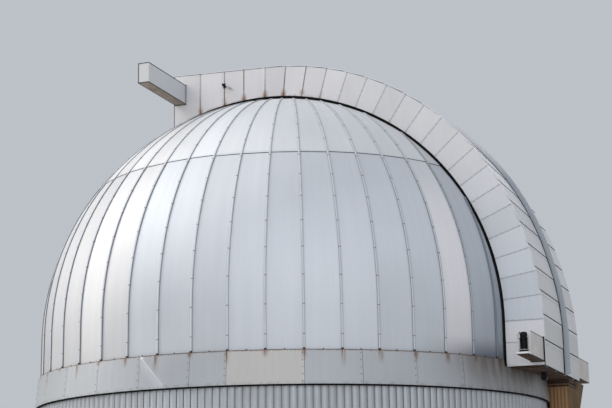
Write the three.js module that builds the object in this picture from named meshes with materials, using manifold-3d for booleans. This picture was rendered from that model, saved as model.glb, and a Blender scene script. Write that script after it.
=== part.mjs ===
// Observatory dome: a clad drum, a turning dome of 48 gores, and a two-leaf shutter that slides open.
// Millimetres, +Z up. Origin on the dome's axis at ground level. The slit faces -Y.
import * as THREE from "three";
import { mergeVertices } from "three/addons/utils/BufferGeometryUtils.js";
import Module from "manifold-3d";

const wasm = await Module();
wasm.setup();

// Driving dimensions
const domeRadius = 6250;
const centreHeight = 6512;
const ringHeight = 5600;
const goreCount = 48;
const goreTurn = 1.41;
const lowerSteps = 6;
const upperSteps = 8;
const lapLatitude = 37.57;
const shellThickness = 50;
const seat = 0.3;

const wallOuter = 6270;
const wallInner = 6050;
const wallTop = 5270;
const floorThickness = 200;
const wallSegments = 6;
const claddingOuter = 6304;
const claddingTop = 5000;
const grooveCount = 60;
const grooveDepth = 26;
const grooveFloor = 24;
const grooveMouth = 36;

const doorWidth = 1000;
const doorHeight = 2150;
const doorFrameWidth = 70;
const doorThickness = 50;

const railTop = 5330;
const railInner = 6115;
const railOuter = 6205;
const ringInner = 6030;
const ringOuter = 6235;
const ringBottom = 5400;
const wheelCount = 24;
const wheelWidth = 60;
const wheelLength = 260;

const skirtBottom = 4878;
const skirtTopRadius = 6317;
const skirtBottomRadius = 6382;
const skirtThickness = 30;

const slitHalfWidth = 1660;
const curbThickness = 120;
const curbInner = 5850;
const curbOuter = 6160;
const slitRear = -2190;
const rearCurbThickness = 110;

const leafOuter = 6800;
const leafSkin = 40;
const leafHalfWidth = 1920;
const sideWallThickness = 30;
const sideWallInner = 5980;
const notchHalf = 2120;
const leafRear = -2437;
const leafRearRise = 80;
const leafBottom = -1062;
const panelPitch = 4.7;
const panelCount = 19;
const leafFlare = 62;
const flarePanels = 3;
const frontPanelFace = leafOuter + leafFlare;
const frontPanelBack = frontPanelFace - 30;
const leafJoint = 110;
const leafJointGap = 10;
const ribHeight = 130;
const ribWidth = 100;
const runningGap = 15;

const upperBeam = { rear: -2390, front: -2110, bottom: 6107, top: 6600, half: 3980 };
const lowerBeam = { rear: 6540, front: 6822, bottom: -970, top: -450, near: -3180, far: 3460 };
const motorShelf = 240;
const motorShelfThickness = 40;
const sillTop = -1075;
const sillBottom = -1190;
const sillPlate = 25;
const sillHalf = 1880;
const sillFront = 6812;
const consoleNear = 880;
const consoleFar = 2720;
const consoleFront = 6785;
const consoleLow = -1940;

// Finishes: colour, roughness, metalness
const finishes = {
  dome_sheet: [0xc6cbd2, 0.42, 0.6],
  leaf_sheet: [0xc4c7ca, 0.45, 0.5],
  skirt_sheet: [0xacaeb0, 0.5, 0.5],
  cladding: [0xa9adb0, 0.5, 0.5],
  beam_sheet: [0xbcbfc2, 0.5, 0.45],
  brown_steel: [0x6a5340, 0.8, 0.2],
  tan_sheet: [0x8a6a52, 0.75, 0.2],
  dark_steel: [0x2c2d30, 0.6, 0.5],
  door_paint: [0x8d9396, 0.5, 0.3],
  concrete: [0xa39f98, 0.9, 0.0],
};

const deg = Math.PI / 180;
const materials = {};
for (const [name, [color, roughness, metalness]] of Object.entries(finishes)) {
  materials[name] = new THREE.MeshStandardMaterial({ color, roughness, metalness, name });
}

// Solids: a closed geometry becomes a solid with its faces pointing out, and back again
function solidOf(geometry) {
  const bare = geometry.index ? geometry.toNonIndexed() : geometry.clone();
  bare.deleteAttribute("normal");
  bare.deleteAttribute("uv");
  const merged = mergeVertices(bare, 1e-3);
  const index = merged.index.array;
  const faces = [];
  for (let i = 0; i < index.length; i += 3) {
    const [a, b, c] = [index[i], index[i + 1], index[i + 2]];
    if (a !== b && b !== c && c !== a) faces.push([a, b, c]);
  }
  const build = (list) => new wasm.Manifold(new wasm.Mesh({
    numProp: 3,
    vertProperties: new Float32Array(merged.attributes.position.array),
    triVerts: new Uint32Array(list.flat()),
  }));
  const solid = build(faces);
  return solid.volume() < 0 ? build(faces.map(([a, b, c]) => [a, c, b])) : solid;
}

function geometryOf(solid) {
  const mesh = solid.getMesh();
  const geometry = new THREE.BufferGeometry();
  const points = new Float32Array(mesh.numVert * 3);
  for (let v = 0; v < mesh.numVert; v += 1) {
    for (let k = 0; k < 3; k += 1) points[3 * v + k] = mesh.vertProperties[v * mesh.numProp + k];
  }
  geometry.setAttribute("position", new THREE.BufferAttribute(points, 3));
  geometry.setIndex(new THREE.BufferAttribute(new Uint32Array(mesh.triVerts), 1));
  const flat = geometry.toNonIndexed();
  flat.computeVertexNormals();
  return flat;
}

// A block given by its low and high corners, heights counted from the ground
function block(x, y, z) {
  const geometry = new THREE.BoxGeometry(x[1] - x[0], y[1] - y[0], z[1] - z[0]);
  geometry.translate((x[0] + x[1]) / 2, (y[0] + y[1]) / 2, (z[0] + z[1]) / 2);
  return solidOf(geometry);
}

// A block in the shutter's own terms: s is forward of the axis, h is height over the sphere's centre
function shutterBlock(x, s, h) {
  return block(x, [-s[1], -s[0]], [centreHeight + h[0], centreHeight + h[1]]);
}

// A profile of [radius, height] points turned round the dome's axis, with one facet for each gore
function turned(profile, facets = goreCount) {
  const points = profile.map(([r, z]) => new THREE.Vector2(r, z));
  const geometry = new THREE.LatheGeometry(points, facets);
  geometry.rotateX(Math.PI / 2);
  return solidOf(geometry);
}

function ring(profile, facets = goreCount) {
  return turned([...profile, profile[0]], facets);
}

// A wedge of space between two azimuths, counted from the slit towards +X, drawn in by half the seat
function wedge(start, end) {
  const reach = 9000;
  const half = (end - start) / 2;
  const middle = (start + end) / 2;
  const at = (r, a) => [r * Math.sin(a * deg), -r * Math.cos(a * deg)];
  const shift = at(seat / 2 / Math.sin(half * deg), middle);
  const shape = new THREE.Shape();
  shape.moveTo(...shift);
  for (let i = 0; i <= 4; i += 1) {
    const [x, y] = at(reach, start + (2 * half * i) / 4);
    shape.lineTo(x + shift[0], y + shift[1]);
  }
  const geometry = new THREE.ExtrudeGeometry(shape, { depth: 20000, bevelEnabled: false });
  geometry.translate(0, 0, -1000);
  return solidOf(geometry);
}

// An outline of [s, h] points, drawn on the slit's middle plane and extruded from x low to x high
function crossways(outline, low, high, holes = []) {
  const shape = new THREE.Shape(outline.map(([s, h]) => new THREE.Vector2(s, h + centreHeight)));
  for (const hole of holes) {
    shape.holes.push(new THREE.Path(hole.map(([s, h]) => new THREE.Vector2(s, h + centreHeight))));
  }
  const geometry = new THREE.ExtrudeGeometry(shape, { depth: high - low, bevelEnabled: false });
  geometry.applyMatrix4(new THREE.Matrix4().makeBasis(
    new THREE.Vector3(0, -1, 0), new THREE.Vector3(0, 0, 1), new THREE.Vector3(-1, 0, 0)));
  geometry.translate(high, 0, 0);
  return solidOf(geometry);
}

// Points of an arc about the sphere's centre, from the front horizontal upwards
function arc(radius, fromAngle, toAngle, steps) {
  const points = [];
  for (let i = 0; i <= steps; i += 1) {
    const a = (fromAngle + (steps ? ((toAngle - fromAngle) * i) / steps : 0)) * deg;
    points.push([radius * Math.cos(a), radius * Math.sin(a)]);
  }
  return points;
}

const dome = new THREE.Group();

function add(name, solid, finish) {
  const mesh = new THREE.Mesh(geometryOf(solid), materials[finish]);
  mesh.name = name;
  dome.add(mesh);
}

// Mirrors an x range to the other side of the slit
const mirrored = ([low, high]) => [-high, -low];

// The drum wall: a core, and a layer of cladding with the groove beside every fourth sheet rib
function drumWall() {
  const core = ring([[wallInner, 0], [wallOuter, 0], [wallOuter, wallTop], [wallInner, wallTop]]);
  const grooveBottom = claddingOuter - grooveDepth;
  const corners = [[claddingOuter, -grooveMouth / 2], [grooveBottom, -grooveFloor / 2],
    [grooveBottom, grooveFloor / 2], [claddingOuter, grooveMouth / 2]];
  const points = [];
  for (let i = 0; i < grooveCount; i += 1) {
    const middle = ((i + 0.5) * 360 * deg) / grooveCount;
    for (const [r, across] of corners) {
      const a = middle + across / r;
      points.push(new THREE.Vector2(r * Math.sin(a), -r * Math.cos(a)));
    }
  }
  const outline = new THREE.Shape(points);
  const layer = new THREE.ExtrudeGeometry(outline, { depth: claddingTop, bevelEnabled: false });
  const hidden = (wallInner + wallOuter) / 2;
  const inside = turned([[0, -10], [hidden, -10], [hidden, claddingTop + 10], [0, claddingTop + 10]]);
  return core.add(solidOf(layer).subtract(inside));
}

// Floor and drum wall. The wall's first segment, below the slit, has the doorway.
function addBuilding() {
  add("floor_slab", turned([[0, 0], [wallInner - seat, 0], [wallInner - seat, floorThickness],
    [0, floorThickness]]), "concrete");

  const wall = drumWall();
  const span = 360 / wallSegments;
  for (let i = 1; i < wallSegments; i += 1) {
    add(`drum_wall_${i}`, wall.intersect(wedge((i - 0.5) * span, (i + 0.5) * span)), "cladding");
  }

  const front = wall.intersect(wedge(-span / 2, span / 2));
  const gapHalf = doorWidth / 2 + doorFrameWidth;
  const doorHead = floorThickness + doorHeight;
  const headHeight = doorHead + doorFrameWidth;
  const reach = [-9000, 0];
  const beside = block([gapHalf + seat, 9000], reach, [-100, wallTop + 100]);
  const besideLeft = block([-9000, -gapHalf - seat], reach, [-100, wallTop + 100]);
  add("wall_right_of_door", front.intersect(beside), "cladding");
  add("wall_left_of_door", front.intersect(besideLeft), "cladding");
  add("wall_over_door",
    front.intersect(block([-gapHalf, gapHalf], reach, [headHeight + seat, wallTop + 100])), "cladding");
  const sillOuter = claddingOuter + 20;
  const sill = ring([[wallInner, 0], [sillOuter, 0], [sillOuter, floorThickness], [wallInner, floorThickness]]);
  add("door_sill", sill.intersect(block([-gapHalf, gapHalf], reach, [-100, wallTop])), "concrete");

  const frameY = [-wallOuter + 40, -wallInner - 20];
  const frame = block([-gapHalf, gapHalf], frameY, [floorThickness + seat, headHeight])
    .subtract(block([-doorWidth / 2, doorWidth / 2], [-9000, 0], [0, doorHead]));
  add("door_frame", frame, "door_paint");
  const slack = 4;
  const doorY = [frameY[0] + 30, frameY[0] + 30 + doorThickness];
  const panel = block([-doorWidth / 2 + slack, doorWidth / 2 - slack], doorY,
    [floorThickness + slack, doorHead - slack]);
  const strap = [-doorWidth / 2 - 40, -doorWidth / 2 + 60];
  const hingeLeaves = [0.2, 0.8].map((k) => {
    const z = floorThickness + k * doorHeight;
    return block(strap, [frameY[0] - 8, frameY[0] - seat], [z - 60, z + 60])
      .add(block([-doorWidth / 2 + slack, -doorWidth / 2 + 60], [frameY[0] - 8, doorY[0] + 5],
        [z - 60, z + 60]));
  });
  const lever = block([doorWidth / 2 - 190, doorWidth / 2 - 60], [doorY[0] - 70, doorY[0] - 50],
    [floorThickness + 1000, floorThickness + 1025])
    .add(block([doorWidth / 2 - 90, doorWidth / 2 - 60], [doorY[0] - 70, doorY[0] + 5],
      [floorThickness + 1000, floorThickness + 1025]));
  add("door", panel.add(hingeLeaves[0]).add(hingeLeaves[1]).add(lever), "door_paint");
}

// The space over the sill where the skirt and the ring's rim are left out for the feet of the leaves
function footNotch() {
  return block([-notchHalf, notchHalf], [-9000, 0], [centreHeight + sillTop, 9000]);
}

// The rail on the wall head, and the ring that turns on it with its wheels
function addTrack() {
  add("track_rail", ring([[railInner, wallTop + seat], [railOuter, wallTop + seat],
    [railOuter, railTop], [railInner, railTop]], goreCount * 2), "dark_steel");

  const ringTop = ringHeight - seat;
  const flange = { inner: ringOuter - 40, outer: skirtTopRadius - skirtThickness - seat, low: ringHeight - 40 };
  const rim = ring([[flange.inner, flange.low], [flange.outer, flange.low], [flange.outer, ringTop],
    [flange.inner, ringTop]]);
  let base = ring([[ringInner, ringBottom], [ringOuter, ringBottom], [ringOuter, ringTop],
    [ringInner, ringTop]]).add(rim.subtract(footNotch()));
  const wheelRadius = (railInner + railOuter) / 2;
  const wheel = block([-wheelLength / 2, wheelLength / 2],
    [-wheelRadius - wheelWidth / 2, -wheelRadius + wheelWidth / 2], [railTop + seat, ringBottom + 10]);
  for (let i = 0; i < wheelCount; i += 1) {
    base = base.add(wheel.rotate([0, 0, ((i + 0.5) * 360) / wheelCount]));
  }
  add("base_ring", base, "dark_steel");
}

function addSkirt() {
  const inTop = skirtTopRadius - skirtThickness;
  const inBottom = skirtBottomRadius - skirtThickness;
  const skirt = ring([[inBottom, skirtBottom], [skirtBottomRadius, skirtBottom],
    [skirtTopRadius, ringHeight - seat], [inTop, ringHeight - seat]]).subtract(footNotch());
  const names = ["front", "right", "rear", "left"];
  names.forEach((name, i) => {
    add(`skirt_${name}`, skirt.intersect(wedge(90 * i - 45, 90 * i + 45)), "skirt_sheet");
  });
}

// The body of the dome, of a given radius, down to a given height. Its seams start a little round from
// the slit's middle.
function domeBody(radius, low) {
  const lower = arc(radius, 0, lapLatitude, lowerSteps);
  const upper = arc(radius, lapLatitude, 90, upperSteps).slice(1, -1);
  const rise = [...lower, ...upper].map(([r, h]) => [r, h + centreHeight]);
  return turned([[0, low], [radius, low], ...rise, [0, centreHeight + radius]])
    .rotate([0, 0, goreTurn]);
}

function addShell() {
  const cutHalf = slitHalfWidth + curbThickness + seat;
  const slit = shutterBlock([-cutHalf, cutHalf], [slitRear - seat, 9000], [-3000, 9000]);
  const shell = domeBody(domeRadius, ringHeight)
    .subtract(domeBody(domeRadius - shellThickness, ringHeight - 500))
    .subtract(slit);
  const lapHeight = domeRadius * Math.sin(lapLatitude * deg);
  const wide = [-9000, 9000];
  const below = shutterBlock(wide, wide, [-3000, lapHeight - seat / 2]);
  const above = shutterBlock(wide, wide, [lapHeight + seat / 2, 9000]);
  const lower = shell.intersect(below);
  const upper = shell.intersect(above);
  const lowerNames = ["front_right", "right", "rear_right", "rear_left", "left", "front_left"];
  lowerNames.forEach((name, i) => {
    add(`lower_gores_${name}`, lower.intersect(wedge(60 * i + goreTurn, 60 * i + 60 + goreTurn)), "dome_sheet");
  });
  const upperNames = ["right", "rear", "left"];
  upperNames.forEach((name, i) => {
    add(`upper_gores_${name}`, upper.intersect(wedge(120 * i + goreTurn, 120 * i + 120 + goreTurn)), "dome_sheet");
  });
}

// Curbs that stand along the slit, and one across its rear end
function addCurbs() {
  const rearAngle = (radius) => Math.acos(slitRear / radius) / deg;
  const foot = ringHeight + seat - centreHeight;
  const steps = 14;
  const outline = [[curbInner, foot], [curbOuter, foot],
    ...arc(curbOuter, 0, rearAngle(curbOuter), steps),
    ...arc(curbInner, 0, rearAngle(curbInner), steps).reverse()];
  const right = [slitHalfWidth, slitHalfWidth + curbThickness];
  add("slit_curb_right", crossways(outline, ...right), "brown_steel");
  add("slit_curb_left", crossways(outline, ...mirrored(right)), "brown_steel");

  const inside = slitHalfWidth - seat;
  const rearTop = Math.sqrt(curbOuter ** 2 - slitRear ** 2) + 250;
  const rear = shutterBlock([-inside, inside], [slitRear, slitRear + rearCurbThickness],
    [rearTop - 520, rearTop]);
  add("slit_curb_rear", rear, "brown_steel");
}

// Rail beams that carry the leaves, across the slit at the top and at the front
function addBeams() {
  const { rear, front, bottom, top, half } = upperBeam;
  const body = domeBody(domeRadius + seat, ringHeight);
  const postX = [slitHalfWidth - 60, slitHalfWidth + 200];
  const post = (x) => shutterBlock(x, [rear, slitRear - 10], [5000, bottom + 10]).subtract(body);
  const upper = shutterBlock([-half, half], [rear, front], [bottom, top])
    .add(post(postX)).add(post(mirrored(postX)));
  add("upper_rail_beam", upper, "beam_sheet");

  const low = lowerBeam;
  const foot = (x) => shutterBlock([x - 120, x + 120], [low.rear + 20, low.front - 20],
    [sillTop + seat, low.bottom + 10]);
  const shelf = shutterBlock([low.near - motorShelf, low.near + 10], [low.rear, low.front],
    [low.bottom, low.bottom + motorShelfThickness]);
  const lower = [-1500, -500, 500, 1500].reduce((sum, x) => sum.add(foot(x)),
    shutterBlock([low.near, low.far], [low.rear, low.front], [low.bottom, low.top]).add(shelf));
  add("lower_rail_beam", lower, "beam_sheet");
}

// The sill under the leaves, cut to the skirt's round and thick only over the tapered console, which
// rises beside the sill's far end
function addSill() {
  const skirtBody = turned([[0, skirtBottom - 1500], [skirtBottomRadius + seat, skirtBottom - 1500],
    [skirtBottomRadius + seat, skirtBottom], [skirtTopRadius + seat, ringHeight], [0, ringHeight]]);
  const across = [5900, sillFront];
  const sill = shutterBlock([-sillHalf, sillHalf], across, [sillTop - sillPlate, sillTop])
    .add(shutterBlock([consoleNear - 10, sillHalf], across, [sillBottom, sillTop]));
  add("leaf_sill", sill.subtract(skirtBody), "brown_steel");

  const height = sillBottom - seat - consoleLow;
  const farTaper = 0.95;
  const rise = sillTop - sillBottom;
  const outline = new THREE.Shape([[consoleNear, 0], [sillHalf + seat, 0], [sillHalf + seat, rise],
    [consoleFar + farTaper * rise, rise], [consoleFar - farTaper * height, -height],
    [consoleNear, -height]].map(([x, z]) => new THREE.Vector2(x, z)));
  const depth = 1500;
  const geometry = new THREE.ExtrudeGeometry(outline, { depth, bevelEnabled: false });
  geometry.rotateX(Math.PI / 2);
  geometry.translate(0, -consoleFront + depth, centreHeight + sillBottom - seat);
  add("console", solidOf(geometry).subtract(skirtBody), "tan_sheet");
}

// The motor that drives both leaves, on the shelf at the near end of the lower beam
function addMotor() {
  const foot = centreHeight + lowerBeam.bottom + motorShelfThickness + seat;
  const profile = [[0, 0], [112, 0], [112, 24], [82, 34], [82, 300], [100, 305], [100, 330], [78, 345],
    [84, 355], [84, 410], [56, 440], [0, 445]];
  const body = new THREE.LatheGeometry(profile.map(([r, z]) => new THREE.Vector2(r, z)), 16);
  body.rotateX(Math.PI / 2);
  const box = new THREE.BoxGeometry(80, 70, 100);
  box.translate(-45, 95, 350);
  const s = 6695;
  const place = [lowerBeam.near - motorShelf / 2, -s, foot];
  add("drive_motor", solidOf(body).add(solidOf(box)).translate(place), "dark_steel");
}

// The outer line of a leaf from its lower front edge over the top to the rear, moved out by an offset.
// Its lowest panels flare out to the front face.
function leafLine(offset) {
  const r = leafOuter + offset;
  const flare = [];
  for (let k = 0; k < flarePanels; k += 1) {
    flare.push(...arc(r + leafFlare * (1 - k / flarePanels), k * panelPitch, 0, 0));
  }
  return [[r + leafFlare, leafBottom], ...flare,
    ...arc(r, flarePanels * panelPitch, panelPitch * panelCount, panelCount - flarePanels),
    [0, r], [leafRear, r + leafRearRise]];
}

function skinOutline() {
  const landing = lowerBeam.top + 35;
  const inner = leafLine(-leafSkin).slice(1);
  return [...leafLine(0), ...inner.reverse(), [frontPanelFace - leafSkin, landing],
    [frontPanelBack, landing], [frontPanelBack, leafBottom]];
}

function windowOf(beam) {
  const g = runningGap;
  const front = Math.min(beam.front + g, frontPanelBack);
  return [[beam.rear - g, beam.bottom - g], [front, beam.bottom - g], [front, beam.top + g],
    [beam.rear - g, beam.top + g]];
}

// Each leaf: skin with its four carriages, side wall with a window round each beam, and rear wall
function addLeaf(side, sign) {
  const place = ([low, high]) => (sign > 0 ? [low, high] : [-high, -low]);
  const edge = sign * leafJoint + leafJointGap / 2;
  const wallIn = leafHalfWidth - sideWallThickness;
  const carriage = (x, s, h) => shutterBlock(place([x - 110, x + 110]), s, h);
  const upperSeat = [upperBeam.top + seat, leafOuter + 30];
  const lowerSeat = [lowerBeam.top + seat, lowerBeam.top + 220];
  let skin = crossways(skinOutline(), ...place([edge, wallIn - seat]));
  for (const x of [400, 1400]) {
    skin = skin
      .add(carriage(x, [upperBeam.rear + 20, upperBeam.front - 20], upperSeat))
      .add(carriage(x, [lowerBeam.rear + 20, frontPanelFace - 20], lowerSeat));
  }
  add(`${side}_leaf_skin`, skin, "leaf_sheet");

  const heel = Math.sqrt(sideWallInner ** 2 - leafRear ** 2);
  const rearAngle = Math.acos(leafRear / sideWallInner) / deg;
  const wallOutline = [...leafLine(0), [leafRear, heel],
    ...arc(sideWallInner, 0, rearAngle, 24).reverse().slice(1), [sideWallInner, leafBottom]];
  const wall = crossways(wallOutline, ...place([wallIn, leafHalfWidth]),
    [windowOf(upperBeam), windowOf(lowerBeam)]);
  add(`${side}_leaf_side_wall`, wall, "leaf_sheet");

  const clearSphere = domeRadius + 50;
  const rearThickness = 25;
  const top = leafOuter - leafSkin + leafRearRise - 2;
  const clear = domeBody(clearSphere, ringHeight);
  const rear = shutterBlock(place([edge, wallIn - seat]), [leafRear, leafRear + rearThickness],
    [5000, top]).subtract(clear);
  add(`${side}_leaf_rear_wall`, rear, "leaf_sheet");
}

function addLeafFittings() {
  const low = leafJoint + leafJointGap / 2 + 3;
  const outline = [...leafLine(seat), ...leafLine(ribHeight).reverse()];
  add("weather_rib", crossways(outline, low, low + ribWidth), "leaf_sheet");

  const at = { s: -1019, h: 6456 };
  const face = -leafHalfWidth - seat;
  const plate = shutterBlock([face - 20, face], [at.s - 45, at.s + 45], [at.h - 70, at.h + 70]);
  const arm = shutterBlock([face - 130, face - 10], [at.s - 20, at.s + 20], [at.h - 30, at.h + 10]);
  const tip = shutterBlock([face - 130, face - 100], [at.s - 20, at.s + 150], [at.h - 80, at.h - 20]);
  add("wall_hook", plate.add(arm).add(tip), "dark_steel");
}

addBuilding();
addTrack();
addSkirt();
addShell();
addCurbs();
addBeams();
addSill();
addMotor();
addLeaf("left", -1);
addLeaf("right", 1);
addLeafFittings();

export default dome;
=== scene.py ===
# Observatory dome: sheet metal, seams, rails, shutter and cladding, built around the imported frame.
# Metres. The slit faces -Y, and the leaf with the motor in front of it is on -X.
import random
from math import acos, cos, degrees, pi, radians, sin, sqrt, tan

import bmesh
import bpy
from mathutils import Matrix, Vector


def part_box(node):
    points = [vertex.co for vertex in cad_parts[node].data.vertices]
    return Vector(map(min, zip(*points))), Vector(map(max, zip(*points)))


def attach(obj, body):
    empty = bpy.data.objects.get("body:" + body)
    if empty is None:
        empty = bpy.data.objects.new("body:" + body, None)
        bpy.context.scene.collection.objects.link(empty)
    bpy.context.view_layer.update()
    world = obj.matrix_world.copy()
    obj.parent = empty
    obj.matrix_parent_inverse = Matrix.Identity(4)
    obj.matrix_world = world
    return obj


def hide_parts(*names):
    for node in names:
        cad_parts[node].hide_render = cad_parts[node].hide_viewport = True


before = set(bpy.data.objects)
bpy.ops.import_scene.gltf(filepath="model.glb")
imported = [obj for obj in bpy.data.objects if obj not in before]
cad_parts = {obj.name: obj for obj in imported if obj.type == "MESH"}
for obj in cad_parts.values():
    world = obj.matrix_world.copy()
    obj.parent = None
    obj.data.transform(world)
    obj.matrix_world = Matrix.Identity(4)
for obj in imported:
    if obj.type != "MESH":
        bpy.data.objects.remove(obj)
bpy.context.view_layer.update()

# Driving dimensions of the dome
dome_radius = 6.25
centre = 6.512
ring = 5.6
gore_count = 48
gore_turn = radians(1.41)
gore_angle = 2 * pi / gore_count
lap_latitude = radians(37.57)
lap_height = centre + dome_radius * sin(lap_latitude)
lap_rise = 0.008
shell_thickness = 0.05
slit_cut = 1.7803
slit_rear = 2.1903
batten_height = 0.024
batten_width = 0.044
fit_gap = 0.0003

# Driving dimensions of the skirt and the drum
skirt_top_radius, skirt_bottom_radius = 6.317, 6.382
skirt_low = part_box("skirt_front")[0].z
skirt_thickness = 0.03
slit_seam = 19
beige_joint, creased_joints = 8 - slit_seam, (5.5 - slit_seam, 7 - slit_seam)
fold_start, fold_lean = 0.02, 0.54
core_radius, cladding_radius = 6.278, 6.304
wall_inside = 6.05
wall_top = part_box("drum_wall_1")[1].z
cladding_top = 5.0
cladding_sheets = 240

# Driving dimensions of the shutter
leaf_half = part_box("right_leaf_side_wall")[1].x
leaf_radius = 6.8
leaf_flare = 0.062
flare_panels = 3
leaf_front = -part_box("right_leaf_skin")[0].y
leaf_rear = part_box("right_leaf_skin")[1].y
leaf_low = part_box("right_leaf_skin")[0].z
leaf_rear_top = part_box("right_leaf_skin")[1].z
panel_pitch = radians(4.7)
panel_count = 19
rear_joints = (0.481, 1.019, 1.694)
lap_turn = radians(0.8)
front_joint = -0.48
wall_inner = 5.972
leaf_split = 0.11
upper_beam = Vector((-3.98, 2.11, centre + 6.107)), Vector((3.98, 2.39, centre + 6.6))
lower_beam = Vector((-3.18, -6.822, centre - 0.97)), Vector((3.46, -6.54, centre - 0.45))
seal_inside, seal_outside = 1.79, 1.975
notch_half, notch_low = 2.12, centre - 1.075

UP, FRONT = Vector((0, 0, 1)), Vector((0, -1, 0))


class Solids:
    """Collects closed solids, and makes one mesh of them."""

    def __init__(self):
        self.points, self.faces = [], []

    def add(self, points, faces):
        start = len(self.points)
        self.points += [tuple(p) for p in points]
        self.faces += [[start + i for i in face] for face in faces]
        return self

    def prism(self, low_loop, high_loop):
        """A closed solid between two loops of equal length."""
        n = len(low_loop)
        sides = [[i, (i + 1) % n, n + (i + 1) % n, n + i] for i in range(n)]
        return self.add([*low_loop, *high_loop], [range(n - 1, -1, -1), range(n, 2 * n), *sides])

    def box(self, first, last):
        """A box between two opposite corners."""
        (x0, x1), (y0, y1), (z0, z1) = (sorted(pair) for pair in zip(first, last))
        return self.prism([(x0, y0, z0), (x1, y0, z0), (x1, y1, z0), (x0, y1, z0)],
                          [(x0, y0, z1), (x1, y0, z1), (x1, y1, z1), (x0, y1, z1)])

    def across(self, outline, low, high):
        """A plate whose outline lies in the plane of the slit, from low to high across it."""
        self.prism([(low, -s, centre + h) for s, h in outline], [(high, -s, centre + h) for s, h in outline])

    def slab(self, outer, inner):
        """A closed sheet between two grids of points, outer and inner, each a list of rows."""
        rows, columns = len(outer), len(outer[0])

        def at(side, r, c):
            return (side * rows + r) * columns + c

        faces = []
        for r in range(rows - 1):
            for c in range(columns - 1):
                faces.append([at(0, r, c), at(0, r, c + 1), at(0, r + 1, c + 1), at(0, r + 1, c)])
                faces.append([at(1, r, c), at(1, r + 1, c), at(1, r + 1, c + 1), at(1, r, c + 1)])
        rim = [(0, c) for c in range(columns)] + [(r, columns - 1) for r in range(1, rows)]
        rim += [(rows - 1, c) for c in reversed(range(columns - 1))]
        rim += [(r, 0) for r in reversed(range(1, rows - 1))]
        for (r, c), (s, d) in zip(rim, rim[1:] + rim[:1]):
            faces.append([at(0, r, c), at(1, r, c), at(1, s, d), at(0, s, d)])
        self.add([p for grid in (outer, inner) for row in grid for p in row], faces)

    def lathe(self, profile, place, sides=32):
        """A round body about an upright axis, from a profile of (radius, height), closed at both ends."""
        turns = [2 * pi * i / sides for i in range(sides)]
        points = [place + Vector((r * cos(t), r * sin(t), z)) for r, z in profile if r for t in turns]
        low, high, top = len(points), len(points) + 1, len(points) - sides
        points += [place + UP * profile[end][1] for end in (0, -1)]
        faces = []
        for i in range(sides):
            j = (i + 1) % sides
            faces += [[low, j, i], [high, top + i, top + j]]
            faces += [[a + i, a + j, a + sides + j, a + sides + i] for a in range(0, top, sides)]
        self.add(points, faces)

    def mesh(self):
        """One mesh with all faces turned outward."""
        mesh = bpy.data.meshes.new("solids")
        mesh.from_pydata(self.points, [], self.faces)
        bm = bmesh.new()
        bm.from_mesh(mesh)
        bmesh.ops.recalc_face_normals(bm, faces=bm.faces)
        bm.to_mesh(mesh)
        bm.free()
        return mesh


def link(name, data):
    shown = bpy.data.objects.new(name, data)
    bpy.context.scene.collection.objects.link(shown)
    return shown


def piece(name, shape, finish, body, replaces=(), smooth_below=None):
    """A finished piece at the origin, riding on its body. Edges below an angle in degrees are smoothed."""
    mesh = shape.mesh() if isinstance(shape, Solids) else shape
    made = link(name, mesh)
    mesh.name = name
    mesh.materials.clear()
    mesh.materials.append(paint[finish])
    if smooth_below is not None:
        mesh.shade_smooth()
        mesh.set_sharp_from_angle(angle=radians(smooth_below))
    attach(made, body)
    if replaces:
        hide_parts(*replaces)
    return made


def evaluated(source):
    graph = bpy.context.evaluated_depsgraph_get()
    return bpy.data.meshes.new_from_object(source.evaluated_get(graph))


def cut(solids, cutter_solids):
    """A mesh of the solids with the cutter's solids taken out of it."""
    body, cutter = link("cut_body", solids.mesh()), link("cutter", cutter_solids.mesh())
    modifier = body.modifiers.new("cut", "BOOLEAN")
    modifier.operation, modifier.solver, modifier.object = "DIFFERENCE", "EXACT", cutter
    result = evaluated(body)
    for used in (body, cutter):
        bpy.data.objects.remove(used)
    return result


def operator(operation, swapped=False):
    def apply(term, other):
        return term.trees.math(operation, *((other, term) if swapped else (term, other)))
    return apply


class Term:
    """An output of a node tree that adds, multiplies and compares like a number."""

    def __init__(self, trees, socket):
        self.trees, self.socket = trees, socket

    __add__, __radd__ = operator("ADD"), operator("ADD", True)
    __sub__, __rsub__ = operator("SUBTRACT"), operator("SUBTRACT", True)
    __mul__, __truediv__ = operator("MULTIPLY"), operator("DIVIDE")
    __lt__, __gt__ = operator("LESS_THAN"), operator("GREATER_THAN")

    def __abs__(self):
        return self.trees.math("ABSOLUTE", self)


class Nodes:
    """A node tree that is written in terms. Its tree is set by the kinds below."""

    def feed(self, socket, value):
        if isinstance(value, Term):
            self.tree.links.new(value.socket, socket)
        elif socket.type == "RGBA":
            socket.default_value = (*value, 1.0)
        else:
            socket.default_value = value

    def node(self, kind, settings=None, output=0, **inputs):
        """A new node's output. Inputs are given by name, with _ for a space."""
        made = self.tree.nodes.new(kind)
        for name, value in (settings or {}).items():
            setattr(made, name, value)
        for name, value in inputs.items():
            self.feed(made.inputs[name.replace("_", " ")], value)
        return Term(self, made.outputs[output])

    def math(self, operation, *values):
        made = self.tree.nodes.new("ShaderNodeMath")
        made.operation = operation
        for socket, value in zip(made.inputs, values):
            self.feed(socket, value)
        return Term(self, made.outputs[0])

    def vector(self, x, y, z):
        return self.node("ShaderNodeCombineXYZ", X=x, Y=y, Z=z)

    def split(self, place):
        parted = self.node("ShaderNodeSeparateXYZ", Vector=place)
        return [Term(self, socket) for socket in parted.socket.node.outputs]


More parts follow.
